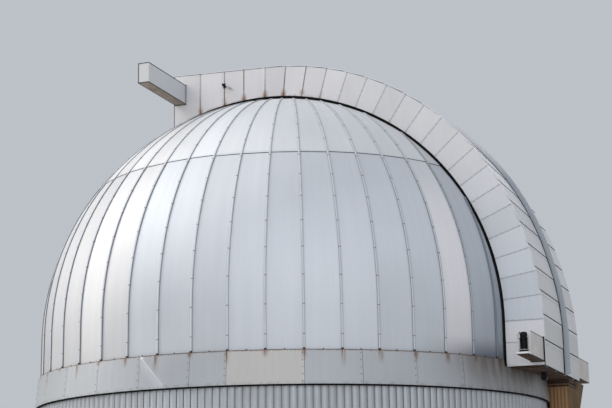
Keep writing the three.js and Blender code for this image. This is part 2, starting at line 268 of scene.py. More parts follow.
class Grower(Nodes):
    """A geometry tree with named size inputs, each read by its name."""

    def __init__(self, name, **sizes):
        self.tree = bpy.data.node_groups.new(name, "GeometryNodeTree")
        face = self.tree.interface
        face.new_socket("Geometry", in_out="INPUT", socket_type="NodeSocketGeometry")
        for label, value in sizes.items():
            kind = "NodeSocketInt" if isinstance(value, int) else "NodeSocketFloat"
            face.new_socket(label, in_out="INPUT", socket_type=kind).default_value = value
        face.new_socket("Material", in_out="INPUT", socket_type="NodeSocketMaterial")
        face.new_socket("Geometry", in_out="OUTPUT", socket_type="NodeSocketGeometry")
        given = self.tree.nodes.new("NodeGroupInput")
        self.given = {socket.name: Term(self, socket) for socket in given.outputs}

    def __getitem__(self, label):
        return self.given[label]

    def named(self, name):
        settings = {"data_type": "FLOAT_VECTOR"}
        return self.node("GeometryNodeInputNamedAttribute", settings, "Attribute", Name=name)

    def set_on(self, points, instance, rotation):
        return self.node("GeometryNodeInstanceOnPoints", Points=points, Instance=instance, Rotation=rotation)

    def turn_to_spot(self):
        """The turn that puts Z along facing and X along the run."""
        up = self.node("FunctionNodeAlignRotationToVector", {"axis": "Z"}, Vector=self.named("facing"))
        return self.node("FunctionNodeAlignRotationToVector", {"axis": "X", "pivot_axis": "Z"},
                         Rotation=up, Vector=self.named("along"))

    def finish(self, geometry):
        real = self.node("GeometryNodeRealizeInstances", Geometry=geometry)
        painted = self.node("GeometryNodeSetMaterial", Geometry=real, Material=self["Material"])
        out = self.tree.nodes.new("NodeGroupOutput")
        self.feed(out.inputs[0], painted)
        return self.tree


def grow(name, tool, source, sizes, finish, body):
    """A piece that a geometry tree makes from a source mesh, turned into a plain mesh."""
    seed = link("source_" + name, source)
    modifier = seed.modifiers.new("grow", "NODES")
    modifier.node_group = tools[tool]
    values = dict(sizes, Material=paint[finish])
    for item in tools[tool].interface.items_tree:
        if item.in_out == "INPUT" and item.name in values:
            modifier[item.identifier] = values[item.name]
    mesh = evaluated(seed)
    seed.modifiers.clear()
    bpy.data.objects.remove(seed)
    return piece(name, mesh, finish, body)


def paths_mesh(paths):
    """Edge chains. Each path is a list of (point, facing)."""
    points, edges, facing = [], [], []
    for path in paths:
        start = len(points)
        points += [tuple(p) for p, f in path]
        facing += [c for p, f in path for c in f]
        edges += [(start + i, start + i + 1) for i in range(len(path) - 1)]
    mesh = bpy.data.meshes.new("paths")
    mesh.from_pydata(points, edges, [])
    mesh.attributes.new("facing", "FLOAT_VECTOR", "POINT").data.foreach_set("vector", facing)
    return mesh


def spots_mesh(spots):
    """Loose points. Each spot is (point, facing, along)."""
    mesh = bpy.data.meshes.new("spots")
    mesh.from_pydata([tuple(p) for p, f, a in spots], [], [])
    for label, index in (("facing", 1), ("along", 2)):
        flat = [c for spot in spots for c in spot[index]]
        mesh.attributes.new(label, "FLOAT_VECTOR", "POINT").data.foreach_set("vector", flat)
    return mesh


def swept_bar():
    """A bar swept along each path, its height along the path's facing."""
    g = Grower("swept_bar", Height=0.03, Width=0.05)
    line = g.node("GeometryNodeMeshToCurve", Mesh=g["Geometry"])
    turned = g.node("GeometryNodeSetCurveNormal", {"mode": "FREE"}, Curve=line, Normal=g.named("facing"))
    section = g.node("GeometryNodeCurvePrimitiveQuadrilateral", Width=g["Height"], Height=g["Width"])
    return g.finish(g.node("GeometryNodeCurveToMesh", Curve=turned, Profile_Curve=section, Fill_Caps=True))


def set_blocks():
    """A small block on each spot, its length along the run."""
    g = Grower("set_blocks", Length=0.05, Width=0.05, Height=0.02)
    block = g.node("GeometryNodeMeshCube", Size=g.vector(g["Length"], g["Width"], g["Height"]))
    return g.finish(g.set_on(g["Geometry"], block, g.turn_to_spot()))


def set_bolts():
    """A round head on each spot, with a narrower crown."""
    g = Grower("set_bolts", Radius=0.012, Height=0.01, Sides=8)
    head = g.node("GeometryNodeMeshCone", Vertices=g["Sides"], Radius_Top=g["Radius"] * 0.6,
                  Radius_Bottom=g["Radius"], Depth=g["Height"])
    return g.finish(g.set_on(g["Geometry"], head, g.turn_to_spot()))


def round_ribs():
    """Upright ribs round a drum, left out inside or outside a gap on the -Y side."""
    g = Grower("round_ribs", Count=240, Radius=6.28, Low=0.0, High=5.0, Width=0.06, Crown=0.03, Depth=0.03,
               Gap=0.6, Inside=0)
    circle = g.node("GeometryNodeMeshCircle", Vertices=g["Count"], Radius=g["Radius"])
    half_pitch = g.math("DIVIDE", pi, g["Count"])
    circle = g.node("GeometryNodeTransform", Geometry=circle, Rotation=g.vector(0.0, 0.0, half_pitch))
    place = g.node("GeometryNodeInputPosition")
    x, y, z = g.split(place)
    in_gap = (abs(x) < g["Gap"]) * (y < 0.0)
    kept = g.node("GeometryNodeDeleteGeometry", {"domain": "POINT"}, Geometry=circle,
                  Selection=abs(g["Inside"] - in_gap))
    section = g.node("GeometryNodeCurvePrimitiveQuadrilateral", {"mode": "TRAPEZOID"},
                     Bottom_Width=g["Width"], Top_Width=g["Crown"], Height=g["Depth"], Offset=0.0)
    line = g.node("GeometryNodeCurvePrimitiveLine", Start=g.vector(0.0, 0.0, g["Low"]),
                  End=g.vector(0.0, 0.0, g["High"]))
    rib = g.node("GeometryNodeCurveToMesh", Curve=line, Profile_Curve=section, Fill_Caps=True)
    outward = g.node("FunctionNodeAlignRotationToVector", {"axis": "Y", "pivot_axis": "Z"}, Vector=place)
    return g.finish(g.set_on(kept, rib, outward))


class Finish(Nodes):
    """One principled shader fed by patterns on object coordinates. Its colour is built up in steps."""

    def __init__(self, name, metallic, roughness):
        self.material = bpy.data.materials.new(name)
        self.material.use_nodes = True
        self.tree = self.material.node_tree
        self.shader = self.tree.nodes["Principled BSDF"]
        self.shader.inputs["Metallic"].default_value = metallic
        self.shader.inputs["Roughness"].default_value = roughness
        self.place = self.node("ShaderNodeTexCoord", output="Object")
        self.x, self.y, self.z = self.split(self.place)

    def noise(self, where, scale, detail=3.0, roughness=0.5):
        return self.node("ShaderNodeTexNoise", Vector=where, Scale=scale, Detail=detail, Roughness=roughness)

    def streaks(self, x, y, z, detail=4.0):
        """Noise that is stretched by other coordinates than the object's own."""
        return self.noise(self.vector(x, y, z), 1.0, detail)

    def chance(self, number):
        return self.node("ShaderNodeTexWhiteNoise", {"noise_dimensions": "1D"}, W=number)

    def ramp(self, value, low, high, to_low=0.0, to_high=1.0):
        return self.node("ShaderNodeMapRange", {"interpolation_type": "SMOOTHSTEP"}, Value=value,
                         From_Min=low, From_Max=high, To_Min=to_low, To_Max=to_high)

    def fade(self, value, low, high):
        return self.ramp(value, low, high, 1.0, 0.0)

    def mix(self, share, first, second):
        return self.node("ShaderNodeMix", {"data_type": "RGBA"}, "Result", Factor=share, A=first, B=second)

    def tone(self, colour, amount):
        """The colour made lighter or darker by an amount about zero."""
        return self.node("ShaderNodeHueSaturation", Color=colour, Value=amount + 1.0)

    def stain(self, share, colour):
        """Lays a colour over the one so far."""
        self.colour = self.mix(share, self.colour, colour)

    def azimuth(self):
        return self.math("ARCTAN2", self.x, self.y * -1.0)

    def swing(self):
        """The angle over the front horizontal, seen along the slit's cross direction."""
        return self.math("ARCTAN2", self.z - centre, self.y * -1.0)

    def reach(self):
        """The distance from the cross axis through the sphere's centre."""
        h = self.z - centre
        return self.math("SQRT", h * h + self.y * self.y)

    def radius(self):
        """The distance from the sphere's centre, or from the upright axis below that height."""
        h = self.math("MAXIMUM", self.z - centre, 0.0)
        return self.math("SQRT", self.x * self.x + self.y * self.y + h * h)

    def bump(self, height, strength, distance):
        self.feed(self.shader.inputs["Normal"],
                  self.node("ShaderNodeBump", Height=height, Strength=strength, Distance=distance))

    def paint(self, roughness=None):
        self.feed(self.shader.inputs["Base Color"], self.colour)
        if roughness is not None:
            self.feed(self.shader.inputs["Roughness"], roughness)
        return self.material


def gore_finish():
    """Painted sheets: each gore has its own tone, streaks run down it, and dirt gathers at the seams."""
    f = Finish("gore_sheet", 0.38, 0.5)
    azimuth = f.azimuth()
    arc, turns = azimuth * dome_radius, (azimuth - gore_turn) / gore_angle
    gore, across = f.math("FLOOR", turns), f.math("FRACT", turns)
    edge = f.math("MINIMUM", across, 1.0 - across)
    streaks = f.streaks(arc * 5.0, f.z * 0.25, gore)
    clouds = f.noise(f.place, 0.6, 3.0)
    fine = f.streaks(arc * 18.0, f.z * 1.2, gore, 2.0)
    shade = (f.chance(gore) - 0.5) * 0.07 + (streaks - 0.5) * 0.12
    shade = shade + (clouds - 0.5) * 0.1 + (fine - 0.5) * 0.04
    # the sheets of the rear half are warmer; all sheets are darker towards the foot as painted shade, most
    # of all at the rear
    rear = f.ramp(abs(azimuth), radians(103.4), radians(103.8))
    shade = shade + f.ramp(f.z, ring, centre + 1.9, -0.15, 0.0) * (rear * 0.45 + 1.0)
    above_lap = f.ramp(f.z, lap_height - 0.01, lap_height + 0.01)
    shade = shade + f.ramp(f.z, centre + 1.8, lap_height, 0.0, -0.05) * (1.0 - above_lap)
    rear = rear * 0.8
    below, above = (f.mix(rear, *pair) for pair in (((0.672, 0.698, 0.738), (0.69, 0.682, 0.69)),
                                                    ((0.725, 0.735, 0.755), (0.755, 0.745, 0.75))))
    f.colour = f.tone(f.mix(above_lap, below, above), shade)
    # one lower gore is painted paler below the lap: a painted reflection
    bright = f.math("COMPARE", gore, -5.0, 0.5) * (f.z < lap_height)
    bright = bright * f.ramp(f.z, lap_height - 1.7, lap_height - 0.2, 0.85, 0.3)
    f.stain(bright, f.tone((0.9, 0.86, 0.875), shade))
    # painted shade on the two gores beside the slit on the near side, strongest at their feet
    slit_shade = f.math("COMPARE", gore, -4.0, 0.5) * 0.32 + f.math("COMPARE", gore, -3.0, 0.5) * 0.6
    f.stain(slit_shade * f.ramp(f.z, ring, centre + 5.5, 1.0, 0.35), (0.2, 0.25, 0.31))
    # painted shade: a dark blue band over the feet of the gores near the slit on the near side
    slit_foot_shade = f.fade(abs(f.x), 2.4, 4.6) * (f.y < 0.0)
    f.stain(slit_foot_shade * f.fade(f.z, ring, ring + 0.5) * 0.75, (0.1, 0.125, 0.17))
    f.stain(f.fade(edge, 0.0, 0.07) * f.ramp(streaks, 0.42, 0.7) * 0.35, (0.2, 0.19, 0.18))
    foot = f.fade(f.z, ring, ring + 0.35) * f.fade(edge, 0.0, 0.05)
    f.stain(foot * f.ramp(fine, 0.35, 0.6) * 0.7, (0.2, 0.11, 0.07))
    f.bump(f.streaks(arc * 1.1, f.z * 0.45, gore, 2.0), 0.2, 0.03)
    return f.paint(f.ramp(clouds, 0.2, 0.8, 0.45, 0.58))


def batten_finish():
    """A pale cap on sides painted darker as painted shade, rusty at the foot."""
    f = Finish("batten_strip", 0.2, 0.5)
    streaks = f.streaks(f.x * 6.0, f.y * 6.0, f.z)
    f.colour = f.tone((0.57, 0.61, 0.655), (streaks - 0.5) * 0.2)
    f.stain(f.ramp(streaks, 0.5, 0.7) * 0.25, (0.36, 0.35, 0.35))
    # painted shade on the battens beside the slit, as on the gores there
    f.stain(f.fade(abs(f.azimuth()), radians(20), radians(37)), (0.2, 0.24, 0.28))
    cap_radius = dome_radius + batten_height - 0.005
    # the sides below the cap: painted shade, turning rust brown at the foot
    side = f.mix(f.ramp(f.z, ring, ring + 0.3), (0.14, 0.08, 0.05), (0.2, 0.21, 0.235))
    f.stain(f.fade(f.radius(), cap_radius - 0.003, cap_radius + 0.002), side)
    f.bump(streaks, 0.1, 0.01)
    return f.paint()


def leaf_finish(name, base, blue, lit):
    """Sheets of slightly different tones, cooler low down, with rust under the rear joints."""
    f = Finish(name, 0.25, 0.5)
    reach, front = f.reach(), f.y < 0.0
    by_angle = (f.swing() + radians(0.2)) / panel_pitch
    by_run = f.y / 0.55 + 100.0
    panel = f.math("FLOOR", by_angle * front + by_run * (1.0 - front))
    part = f.math("FRACT", by_angle)
    joint = f.math("MAXIMUM", f.math("MINIMUM", part, 1.0 - part) * panel_pitch * reach, f.y * 9.0)
    for y in rear_joints:
        joint = f.math("MINIMUM", joint, abs(f.y - y))
    clouds = f.noise(f.place, 1.3, 4.0)
    drips = f.streaks(f.x * 9.0, f.y * 9.0, f.z * 0.9)
    shade = (f.chance(panel) - 0.5) * 0.09 + (clouds - 0.5) * 0.12 + (drips - 0.5) * 0.08
    colour = f.mix(f.fade(f.z, centre + 0.3, centre + 4.6), base, blue)
    f.colour = f.tone(f.mix(f.fade(f.z, centre - 0.06, centre - 0.03), colour, lit), shade)
    rearward = f.ramp(f.y, -2.4, -0.6)
    foot = f.fade(reach, wall_inner + 0.05, wall_inner + 0.28) * f.fade(joint, 0.01, 0.11)
    low_edge = f.fade(reach, wall_inner + 0.04, wall_inner + 0.12) * f.ramp(
        f.noise(f.place, 2.5, 4.0), 0.4, 0.6, 0.0, 0.55)
    line = f.fade(joint, 0.006, 0.026)
    f.stain(line * 0.3, (0.33, 0.31, 0.36))
    f.stain(line * f.ramp(drips, 0.3, 0.55) * (rearward * 0.8), (0.2, 0.11, 0.06))
    rusty = f.math("MAXIMUM", foot, low_edge) * f.ramp(f.noise(f.place, 6.0, 4.0), 0.25, 0.5)
    f.stain(rusty * (rearward * 0.85 + 0.06), (0.2, 0.085, 0.03))
    # a rusty run slants down from the hook
    hook_low, hook_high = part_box("wall_hook")
    along = (hook_low.y + hook_high.y) / 2 - 0.05 - f.y
    down = (hook_low.z + hook_high.z) / 2 - 0.05 - f.z
    spot = f.fade(abs(down - along * 0.6), 0.0, 0.06) * f.ramp(along, -0.03, 0.03) * f.fade(along, 0.03, 0.2)
    f.stain(spot * 0.8, (0.25, 0.13, 0.07))
    f.bump(f.noise(f.place, 1.6, 2.0), 0.15, 0.02)
    return f.paint(f.ramp(clouds, 0.2, 0.8, 0.42, 0.58))


def skirt_finish(name, base):
    """Sheets with short rusty runs under the seam feet, and a brown stain with painted shadow under the
    leaves.
    """
    f = Finish(name, 0.2, 0.5)
    azimuth = f.azimuth()
    arc, seams = azimuth * dome_radius, (azimuth - gore_turn) / gore_angle + 0.5
    streaks = f.streaks(arc * 7.0, f.z * 0.8, 0.0)
    fine = f.streaks(arc * 26.0, f.z * 3.0, 0.0)
    clouds = f.noise(f.place, 1.1, 4.0)
    shade = (streaks - 0.5) * 0.16 + (clouds - 0.5) * 0.14
    # the sheets towards the rear are darker: painted shade
    f.colour = f.tone(base, shade + f.ramp(abs(azimuth), radians(108), radians(150), 0.0, -0.075))
    length = f.chance(f.math("FLOOR", seams)) * 0.38 + 0.1
    run = f.fade(abs(f.math("FRACT", seams) - 0.5), 0.0, 0.12) * f.fade((ring - f.z) / length, 0.0, 1.0)
    f.stain(run * f.ramp(fine, 0.25, 0.58) * 0.92, (0.2, 0.1, 0.05))
    f.stain(f.ramp(f.z, ring - 0.035, ring - 0.005) * f.ramp(fine, 0.35, 0.6) * 0.65, (0.24, 0.15, 0.1))
    f.stain(f.fade(f.z, skirt_low, skirt_low + 0.1) * f.ramp(streaks, 0.4, 0.7) * 0.4, (0.11, 0.09, 0.07))
    # under the leaves: a brown stain together with painted shadow, darkest at the top
    beside = f.fade(abs(f.x), 2.4, 4.4) * (f.y < 0.0) * f.ramp(f.z, skirt_low, ring, 0.6, 1.0)
    patches = f.ramp(clouds * 0.5 + streaks * 0.5, 0.3, 0.62, 0.45, 0.95)
    f.stain(beside * patches * 0.97, (0.09, 0.064, 0.045))
    # the folded sheet: a painted highlight along the fold, and painted light on the corner behind it
    first, last = (seam_azimuth(joint) for joint in creased_joints)
    u, v = (azimuth - first) / (last - first), (ring - f.z) / (ring - skirt_low)
    past, on_sheet = u - (v * fold_lean + fold_start), (u > 0.0) * (u < 1.0)
    f.stain(f.ramp(past, -0.3, 0.0) * (past < 0.0) * on_sheet * 0.25, (0.75, 0.74, 0.78))
    f.stain(f.fade(abs(past), 0.0, 0.02) * on_sheet * f.ramp(v, 0.4, 1.0, 0.5, 0.2), (0.95, 0.95, 0.97))
    f.bump(f.noise(f.place, 2.2, 2.0), 0.15, 0.02)
    return f.paint(f.ramp(clouds, 0.2, 0.8, 0.42, 0.6))


def plain_finish(name, base, worn, metallic, roughness, grain, sheen=0.5, spread=0.2):
    """A weathered coat: a base colour that shifts to a worn one in patches and drips."""
    f = Finish(name, metallic, roughness)
    f.shader.inputs["Specular IOR Level"].default_value = sheen
    clouds = f.noise(f.place, grain, 5.0, 0.6)
    drips = f.streaks(f.x * 8.0, f.y * 8.0, f.z * 0.8)
    f.colour = f.mix(f.ramp((clouds + drips) * 0.5, 0.5 - spread, 0.5 + spread), base, worn)
    f.bump(f.noise(f.place, grain * 6.0, 3.0), 0.3, 0.01)
    return f.paint(f.ramp(clouds, 0.2, 0.8, roughness - 0.08, roughness + 0.12))


def rib_finish():
    """The rib's cover: pale over the crown, bluish and duller below, with drips."""
    f = Finish("rib_cover", 0.25, 0.48)
    clouds = f.noise(f.place, 1.6, 4.0)
    drips = f.streaks(f.x * 9.0, f.y * 2.0, f.z)
    crown = f.ramp(f.swing(), radians(32), radians(43))
    f.colour = f.tone(f.mix(crown, (0.37, 0.405, 0.445), (0.62, 0.63, 0.65)), (clouds + drips - 1.0) * 0.14)
    f.bump(drips, 0.15, 0.01)
    return f.paint(f.ramp(clouds, 0.2, 0.8, 0.4, 0.56))


def valley_finish():
    """The grooves of the cladding: their dark colour is painted shade, darker towards the back of the drum.
    """
    f = Finish("cladding_valley", 0.3, 0.5)
    clouds = f.noise(f.place, 1.4, 4.0)
    rear = f.ramp(abs(f.azimuth()), radians(82), radians(110))
    f.colour = f.tone(f.mix(rear, (0.3, 0.305, 0.32), (0.085, 0.085, 0.09)), (clouds - 0.5) * 0.2)
    return f.paint()


# Each row: name, colour, worn colour, metallic, roughness, grain, then sheen and spread if they differ
plain_coats = {
    "under": ("sheet_backing", (0.17, 0.165, 0.165), (0.13, 0.12, 0.12), 0.2, 0.7, 2.0),
    "trim": ("beam_trim", (0.03, 0.03, 0.032), (0.06, 0.045, 0.035), 0.1, 0.6, 3.0, 0.25),
    "slat": ("brown_boards", (0.11, 0.062, 0.038), (0.045, 0.026, 0.017), 0.0, 0.8, 5.0, 0.2),
    "board": ("grey_boards", (0.33, 0.28, 0.24), (0.2, 0.15, 0.11), 0.0, 0.75, 4.0, 0.3),
    "bright": ("bare_fitting", (0.5, 0.5, 0.5), (0.3, 0.27, 0.24), 0.6, 0.4, 7.0),
    "clip": ("clip_steel", (0.3, 0.31, 0.33), (0.2, 0.17, 0.15), 0.4, 0.55, 5.0),
    "bolt": ("bolt_heads", (0.25, 0.25, 0.26), (0.18, 0.15, 0.13), 0.3, 0.55, 5.0),
    "rust": ("rusted_foot", (0.09, 0.045, 0.03), (0.05, 0.022, 0.014), 0.2, 0.8, 9.0),
    "bead": ("rusty_joint", (0.07, 0.042, 0.03), (0.14, 0.125, 0.12), 0.0, 0.8, 7.0, 0.2, 0.1),
    "clad": ("ribbed_cladding", (0.455, 0.48, 0.51), (0.405, 0.41, 0.42), 0.25, 0.5, 1.4),
    "low_beam": ("low_beam_cover", (0.64, 0.615, 0.6), (0.52, 0.46, 0.41), 0.1, 0.5, 2.2),
    "beam": ("beam_cover", (0.58, 0.63, 0.69), (0.63, 0.61, 0.59), 0.2, 0.45, 1.2),
    "end": ("beam_end_cover", (0.78, 0.78, 0.79), (0.7, 0.69, 0.68), 0.1, 0.5, 1.6),
    "brown": ("rusty_primer", (0.085, 0.052, 0.034), (0.04, 0.025, 0.018), 0.0, 0.8, 4.0, 0.2),
    "tan": ("tan_coat", (0.37, 0.215, 0.105), (0.3, 0.17, 0.08), 0.0, 0.65, 2.0, 0.3),
    "umber": ("umber_painted_shade", (0.17, 0.11, 0.058), (0.12, 0.075, 0.04), 0.0, 0.8, 2.0, 0.1),
    "valley_tan": ("tan_valley", (0.27, 0.15, 0.075), (0.2, 0.11, 0.055), 0.0, 0.75, 2.0, 0.2),
    "dark": ("dark_casting", (0.004, 0.0045, 0.006), (0.01, 0.009, 0.009), 0.0, 0.36, 8.0, 0.13),
    "rail": ("greased_steel", (0.1, 0.1, 0.1), (0.14, 0.12, 0.1), 0.8, 0.4, 4.0),
    "rubber": ("black_rubber_and_painted_shadow", (0.004, 0.004, 0.005), (0.01, 0.009, 0.009), 0.0, 0.85, 6.0, 0.1),
    "door": ("door_coat", (0.24, 0.28, 0.3), (0.2, 0.22, 0.23), 0.1, 0.45, 3.0),
    "concrete": ("float_concrete", (0.42, 0.4, 0.38), (0.33, 0.32, 0.3), 0.0, 0.85, 2.5),
    "floor": ("pale_floor", (0.75, 0.75, 0.74), (0.72, 0.72, 0.71), 0.0, 0.9, 0.5),
}


def make_finishes():
    made = {"gore": gore_finish(), "batten": batten_finish(), "rib": rib_finish(), "valley": valley_finish()}
    made["leaf"] = leaf_finish("leaf_sheet", (0.67, 0.655, 0.665), (0.59, 0.62, 0.66), (0.74, 0.725, 0.74))
    made["front"] = leaf_finish("front_sheet", (0.78, 0.785, 0.81), (0.7, 0.685, 0.685),
                                (0.64, 0.625, 0.615))
    made["skirt"] = skirt_finish("skirt_coat", (0.43, 0.443, 0.463))
    made["beige"] = skirt_finish("beige_coat", (0.505, 0.49, 0.47))
    made.update((key, plain_finish(*row)) for key, row in plain_coats.items())
    return made


def make_camera():
    """The photograph's camera, found from the seams of the gores: the slit points away to its right."""
    slit_turn = radians(68.33)
    distance, below_ring = 37.398, 3.995
    pitch, yaw, roll = 0.2257, 0.0104, -0.0132
    focal_pixels, frame_pixels = 1480.9, 612
    turn = Matrix.Rotation(-slit_turn, 3, "Z")
    forward = Vector((sin(yaw) * cos(pitch), cos(yaw) * cos(pitch), sin(pitch)))
    right = Vector((cos(yaw), -sin(yaw), 0))
    up = right.cross(forward)
    rolled = cos(roll) * right + sin(roll) * up, cos(roll) * up - sin(roll) * right, -forward
    axes = [turn @ v for v in rolled]
    place = turn @ Vector((0, -distance, ring - below_ring))
    data = bpy.data.cameras.new("camera")
    data.sensor_width = 36
    data.lens = data.sensor_width * focal_pixels / frame_pixels
    data.clip_end = 500
    camera = bpy.context.scene.camera = link("camera", data)
    rows = [[axes[c][r] for c in range(3)] + [place[r]] for r in range(3)]
    camera.matrix_world = Matrix(rows + [[0, 0, 0, 1]])
    return turn


def make_studio(turn):
    """A plain pale floor and soft light: a tall key from the left, a broad one above, and weak fills."""
    world = bpy.context.scene.world = bpy.data.worlds.new("studio")
    world.use_nodes = True
    back = world.node_tree.nodes["Background"]
    back.inputs["Color"].default_value = (0.63, 0.67, 0.72, 1)
    back.inputs["Strength"].default_value = 0.8
    bpy.context.scene.view_settings.view_transform = "Standard"
    aim = Vector((0, 0, centre))
    lights = {"key": ((-31, 1, 15), (18, 34), 4850, (1.0, 0.955, 0.89)),
              "above": ((-17, -4, 29), (30, 30), 3500, (1.0, 0.97, 0.94)),
              "fill": ((1, -34, 8), (30, 24), 2450, (0.98, 0.985, 1.0)),
              "back": ((8, 30, 20), (24, 24), 1800, (0.97, 0.98, 1.0))}
    for name, (offset, size, power, colour) in lights.items():
        data = bpy.data.lights.new(name, "AREA")
        data.shape, data.size, data.size_y, data.energy, data.color = "RECTANGLE", *size, power, colour
        lamp, place = link(name, data), turn @ Vector(offset) + aim
        lamp.location = place
        lamp.rotation_euler = (aim - place).to_track_quat("-Z", "Y").to_euler()
    floor = link("floor", Solids().box((-90, -90, -0.2), (90, 90, -0.001)).mesh())
    floor.data.materials.append(paint["floor"])


def around(radius, azimuth, height):
    return Vector((radius * sin(azimuth), -radius * cos(azimuth), height))


def polar(radius, angle):
    return radius * cos(angle), radius * sin(angle)


def spread(first, last, count):
    return [first + (last - first) * i / (count - 1) for i in range(count)]


def seam_azimuth(number):
    return gore_turn + number * gore_angle


def meridian(radius, low, latitudes):
    """Radius and height of the points of one seam, from a foot, if there is one, upwards."""
    line = [(radius, low)] if low else []
    return line + [(radius * cos(t), centre + radius * sin(t)) for t in latitudes]


def tube(inside, outside, low, high, turns):
    """A closed upright ring with a corner at each of the turns."""
    n = len(turns)
    points = [around(r, a, z) for r, z in ((outside, low), (outside, high), (inside, high), (inside, low))
              for a in turns]
    faces = [[r * n + k, r * n + (k + 1) % n, (r + 1) % 4 * n + (k + 1) % n, (r + 1) % 4 * n + k]
             for r in range(4) for k in range(n)]
    return Solids().add(points, faces)


def gore_shell(line_out, line_in, pole):
    """Sheets between all the seams as one closed shell. At the pole the last point is shared."""
    points, faces = [], []
    rows = len(line_out) - 1 if pole else len(line_out)

    def add_side(line):
        start = len(points)
        for radius, height in line[:rows]:
            points.extend(around(radius, seam_azimuth(k), height) for k in range(gore_count))
        if pole:
            points.append(UP * line[-1][1])
        return start

    outer, inner = add_side(line_out), add_side(line_in)
    last = (rows - 1) * gore_count
    for k in range(gore_count):
        n = (k + 1) % gore_count
        for side in (outer, inner):
            faces += [[a + k, a + n, a + gore_count + n, a + gore_count + k]
                      for a in range(side, side + last, gore_count)]
            if pole:
                faces.append([side + last + k, side + last + n, side + last + gore_count])
        faces.append([outer + k, inner + k, inner + n, outer + n])
        if not pole:
            faces.append([outer + last + k, outer + last + n, inner + last + n, inner + last + k])
    return Solids().add(points, faces)


def make_gores():
    inside, smooth_below = dome_radius - shell_thickness, 3.3
    shells = {"lower": (dome_radius, ring + fit_gap, spread(0, lap_latitude, 26),
                        ("front_right", "right", "rear_right", "rear_left", "left", "front_left")),
              "upper": (dome_radius + lap_rise, None, spread(lap_latitude, pi / 2, 32),
                        ("right", "rear", "left"))}
    for half, (radius, low, lats, sides) in shells.items():
        shell = gore_shell(meridian(radius, low, lats), meridian(inside, low, lats), low is None)
        slit = Solids().box((-slit_cut, -9, 4), (slit_cut, slit_rear, 14))
        piece(f"gore_sheets_{half}", cut(shell, slit), "gore", "dome",
              [f"{half}_gores_{side}" for side in sides], smooth_below)

    # The upper sheets lap over the lower ones, each by its own amount; a dark strip under each lap is
    # painted shadow
    rng = random.Random(11)
    flaps, lines = Solids(), Solids()
    side_margin = 0.03
    for k in range(gore_count):
        drop = rng.uniform(0.03, 0.075)
        ends = seam_azimuth(k), seam_azimuth(k + 1)
        middle = sum(ends) / 2
        if abs(dome_radius * cos(lap_latitude) * sin(middle)) < slit_cut and cos(middle) > -0.3:
            continue
        for solids, rises, drops in ((flaps, (lap_rise, 0.0005), (drop, -lap_rise)),
                                     (lines, (0.006, -0.002), (drop + 0.014, drop - 0.002))):
            grids = []
            for radius in (dome_radius + rise for rise in rises):
                line = meridian(radius, None, [lap_latitude - d / dome_radius for d in drops])
                rows = [[around(r, a, z) for a in ends] for r, z in line]
                shares = side_margin, 1.0 - side_margin
                grids.append([[first.lerp(last, u) for u in shares] for first, last in rows])
            solids.slab(*grids)
    piece("lap_flaps", flaps, "gore", "dome")
    piece("lap_shadow_lines", lines, "trim", "dome")


def seam_ends():
    """For each seam outside the slit, the latitude where it meets the slit's side or the pole."""
    ends = []
    for k in range(gore_count):
        a = seam_azimuth(k)
        for step in range(900):
            t = radians(step / 10)
            r = dome_radius * cos(t)
            if abs(r * sin(a)) < seal_outside + 0.01 and r * cos(a) > -slit_rear - 0.2:
                break
        if t > radians(4):
            ends.append((k, min(t, radians(86))))
    return ends


def make_seals():
    """Black rubber bands on the gores along both sides of the slit, under the leaves' edges, which also
    stand for the shadow in the gap there.
    """
    seals = Solids()
    rise, sunk = 0.012, 0.02
    for sign in (-1, 1):
        grids = []
        for radius in (dome_radius + rise, dome_radius - sunk):
            rows = []
            for x in (seal_inside, seal_outside):
                flat = sqrt(radius ** 2 - x ** 2)
                line = [(flat, h) for h in spread(ring - centre + 0.004, -0.05, 4)]
                line += [polar(flat, t) for t in spread(0.0, acos(-(slit_rear + 0.16) / flat), 60)]
                rows.append([(sign * x, -s, centre + h) for s, h in line])
            grids.append(rows)
        seals.slab(*grids)
    piece("slit_seals", seals, "rubber", "dome", (), 20)


def make_battens():
    rise = batten_height / 2 - 0.003
    radius = dome_radius + 0.004 + rise
    spacing, clear_x, clear_y = 0.64, 2.3, 2.6
    paths, clips, feet, dots = [], [], [], []
    for k, end in seam_ends():
        a = seam_azimuth(k)
        out = around(1, a, 0)
        run = []
        for r, z in meridian(radius, ring + 0.03, spread(0, end, 2 + int(degrees(end) / 1.5))):
            away = out if z < centre else Vector((r * out.x, r * out.y, z - centre)).normalized()
            run.append((Vector((r * out.x, r * out.y, z)), away))
        paths.append(run)
        length, along = 0.0, spacing / 2
        for (p, f), (q, g) in zip(run, run[1:]):
            span = (q - p).length
            while length + span > along:
                share = (along - length) / span
                facing = f.lerp(g, share).normalized()
                at = p.lerp(q, share) - facing * 0.001
                if abs(at.x) > clear_x or at.y > clear_y:
                    clips.append((at, facing, (q - p).normalized()))
                along += spacing
            length += span
        feet.append((around(dome_radius + 0.014, a, ring + 0.032), out, UP))
        middle = a + gore_angle / 2
        dot = around(dome_radius * cos(gore_angle / 2), middle, ring + 0.03)
        dots.append((dot, around(1, middle, 0), UP))
    grow("seam_battens", "bar", paths_mesh(paths), {"Height": batten_height, "Width": batten_width},
         "batten", "dome")
    for name, spots, sizes, finish in (("seam_clips", clips, (0.02, 0.054, batten_height + 0.004), "clip"),
                                       ("seam_feet", feet, (0.04, 0.05, 0.03), "rust")):
        grow(name, "blocks", spots_mesh(spots), dict(zip(("Length", "Width", "Height"), sizes)),
             finish, "dome")
    grow("ring_bolts", "bolts", spots_mesh(dots), {"Radius": 0.016, "Height": 0.014},
         "rust", "dome")


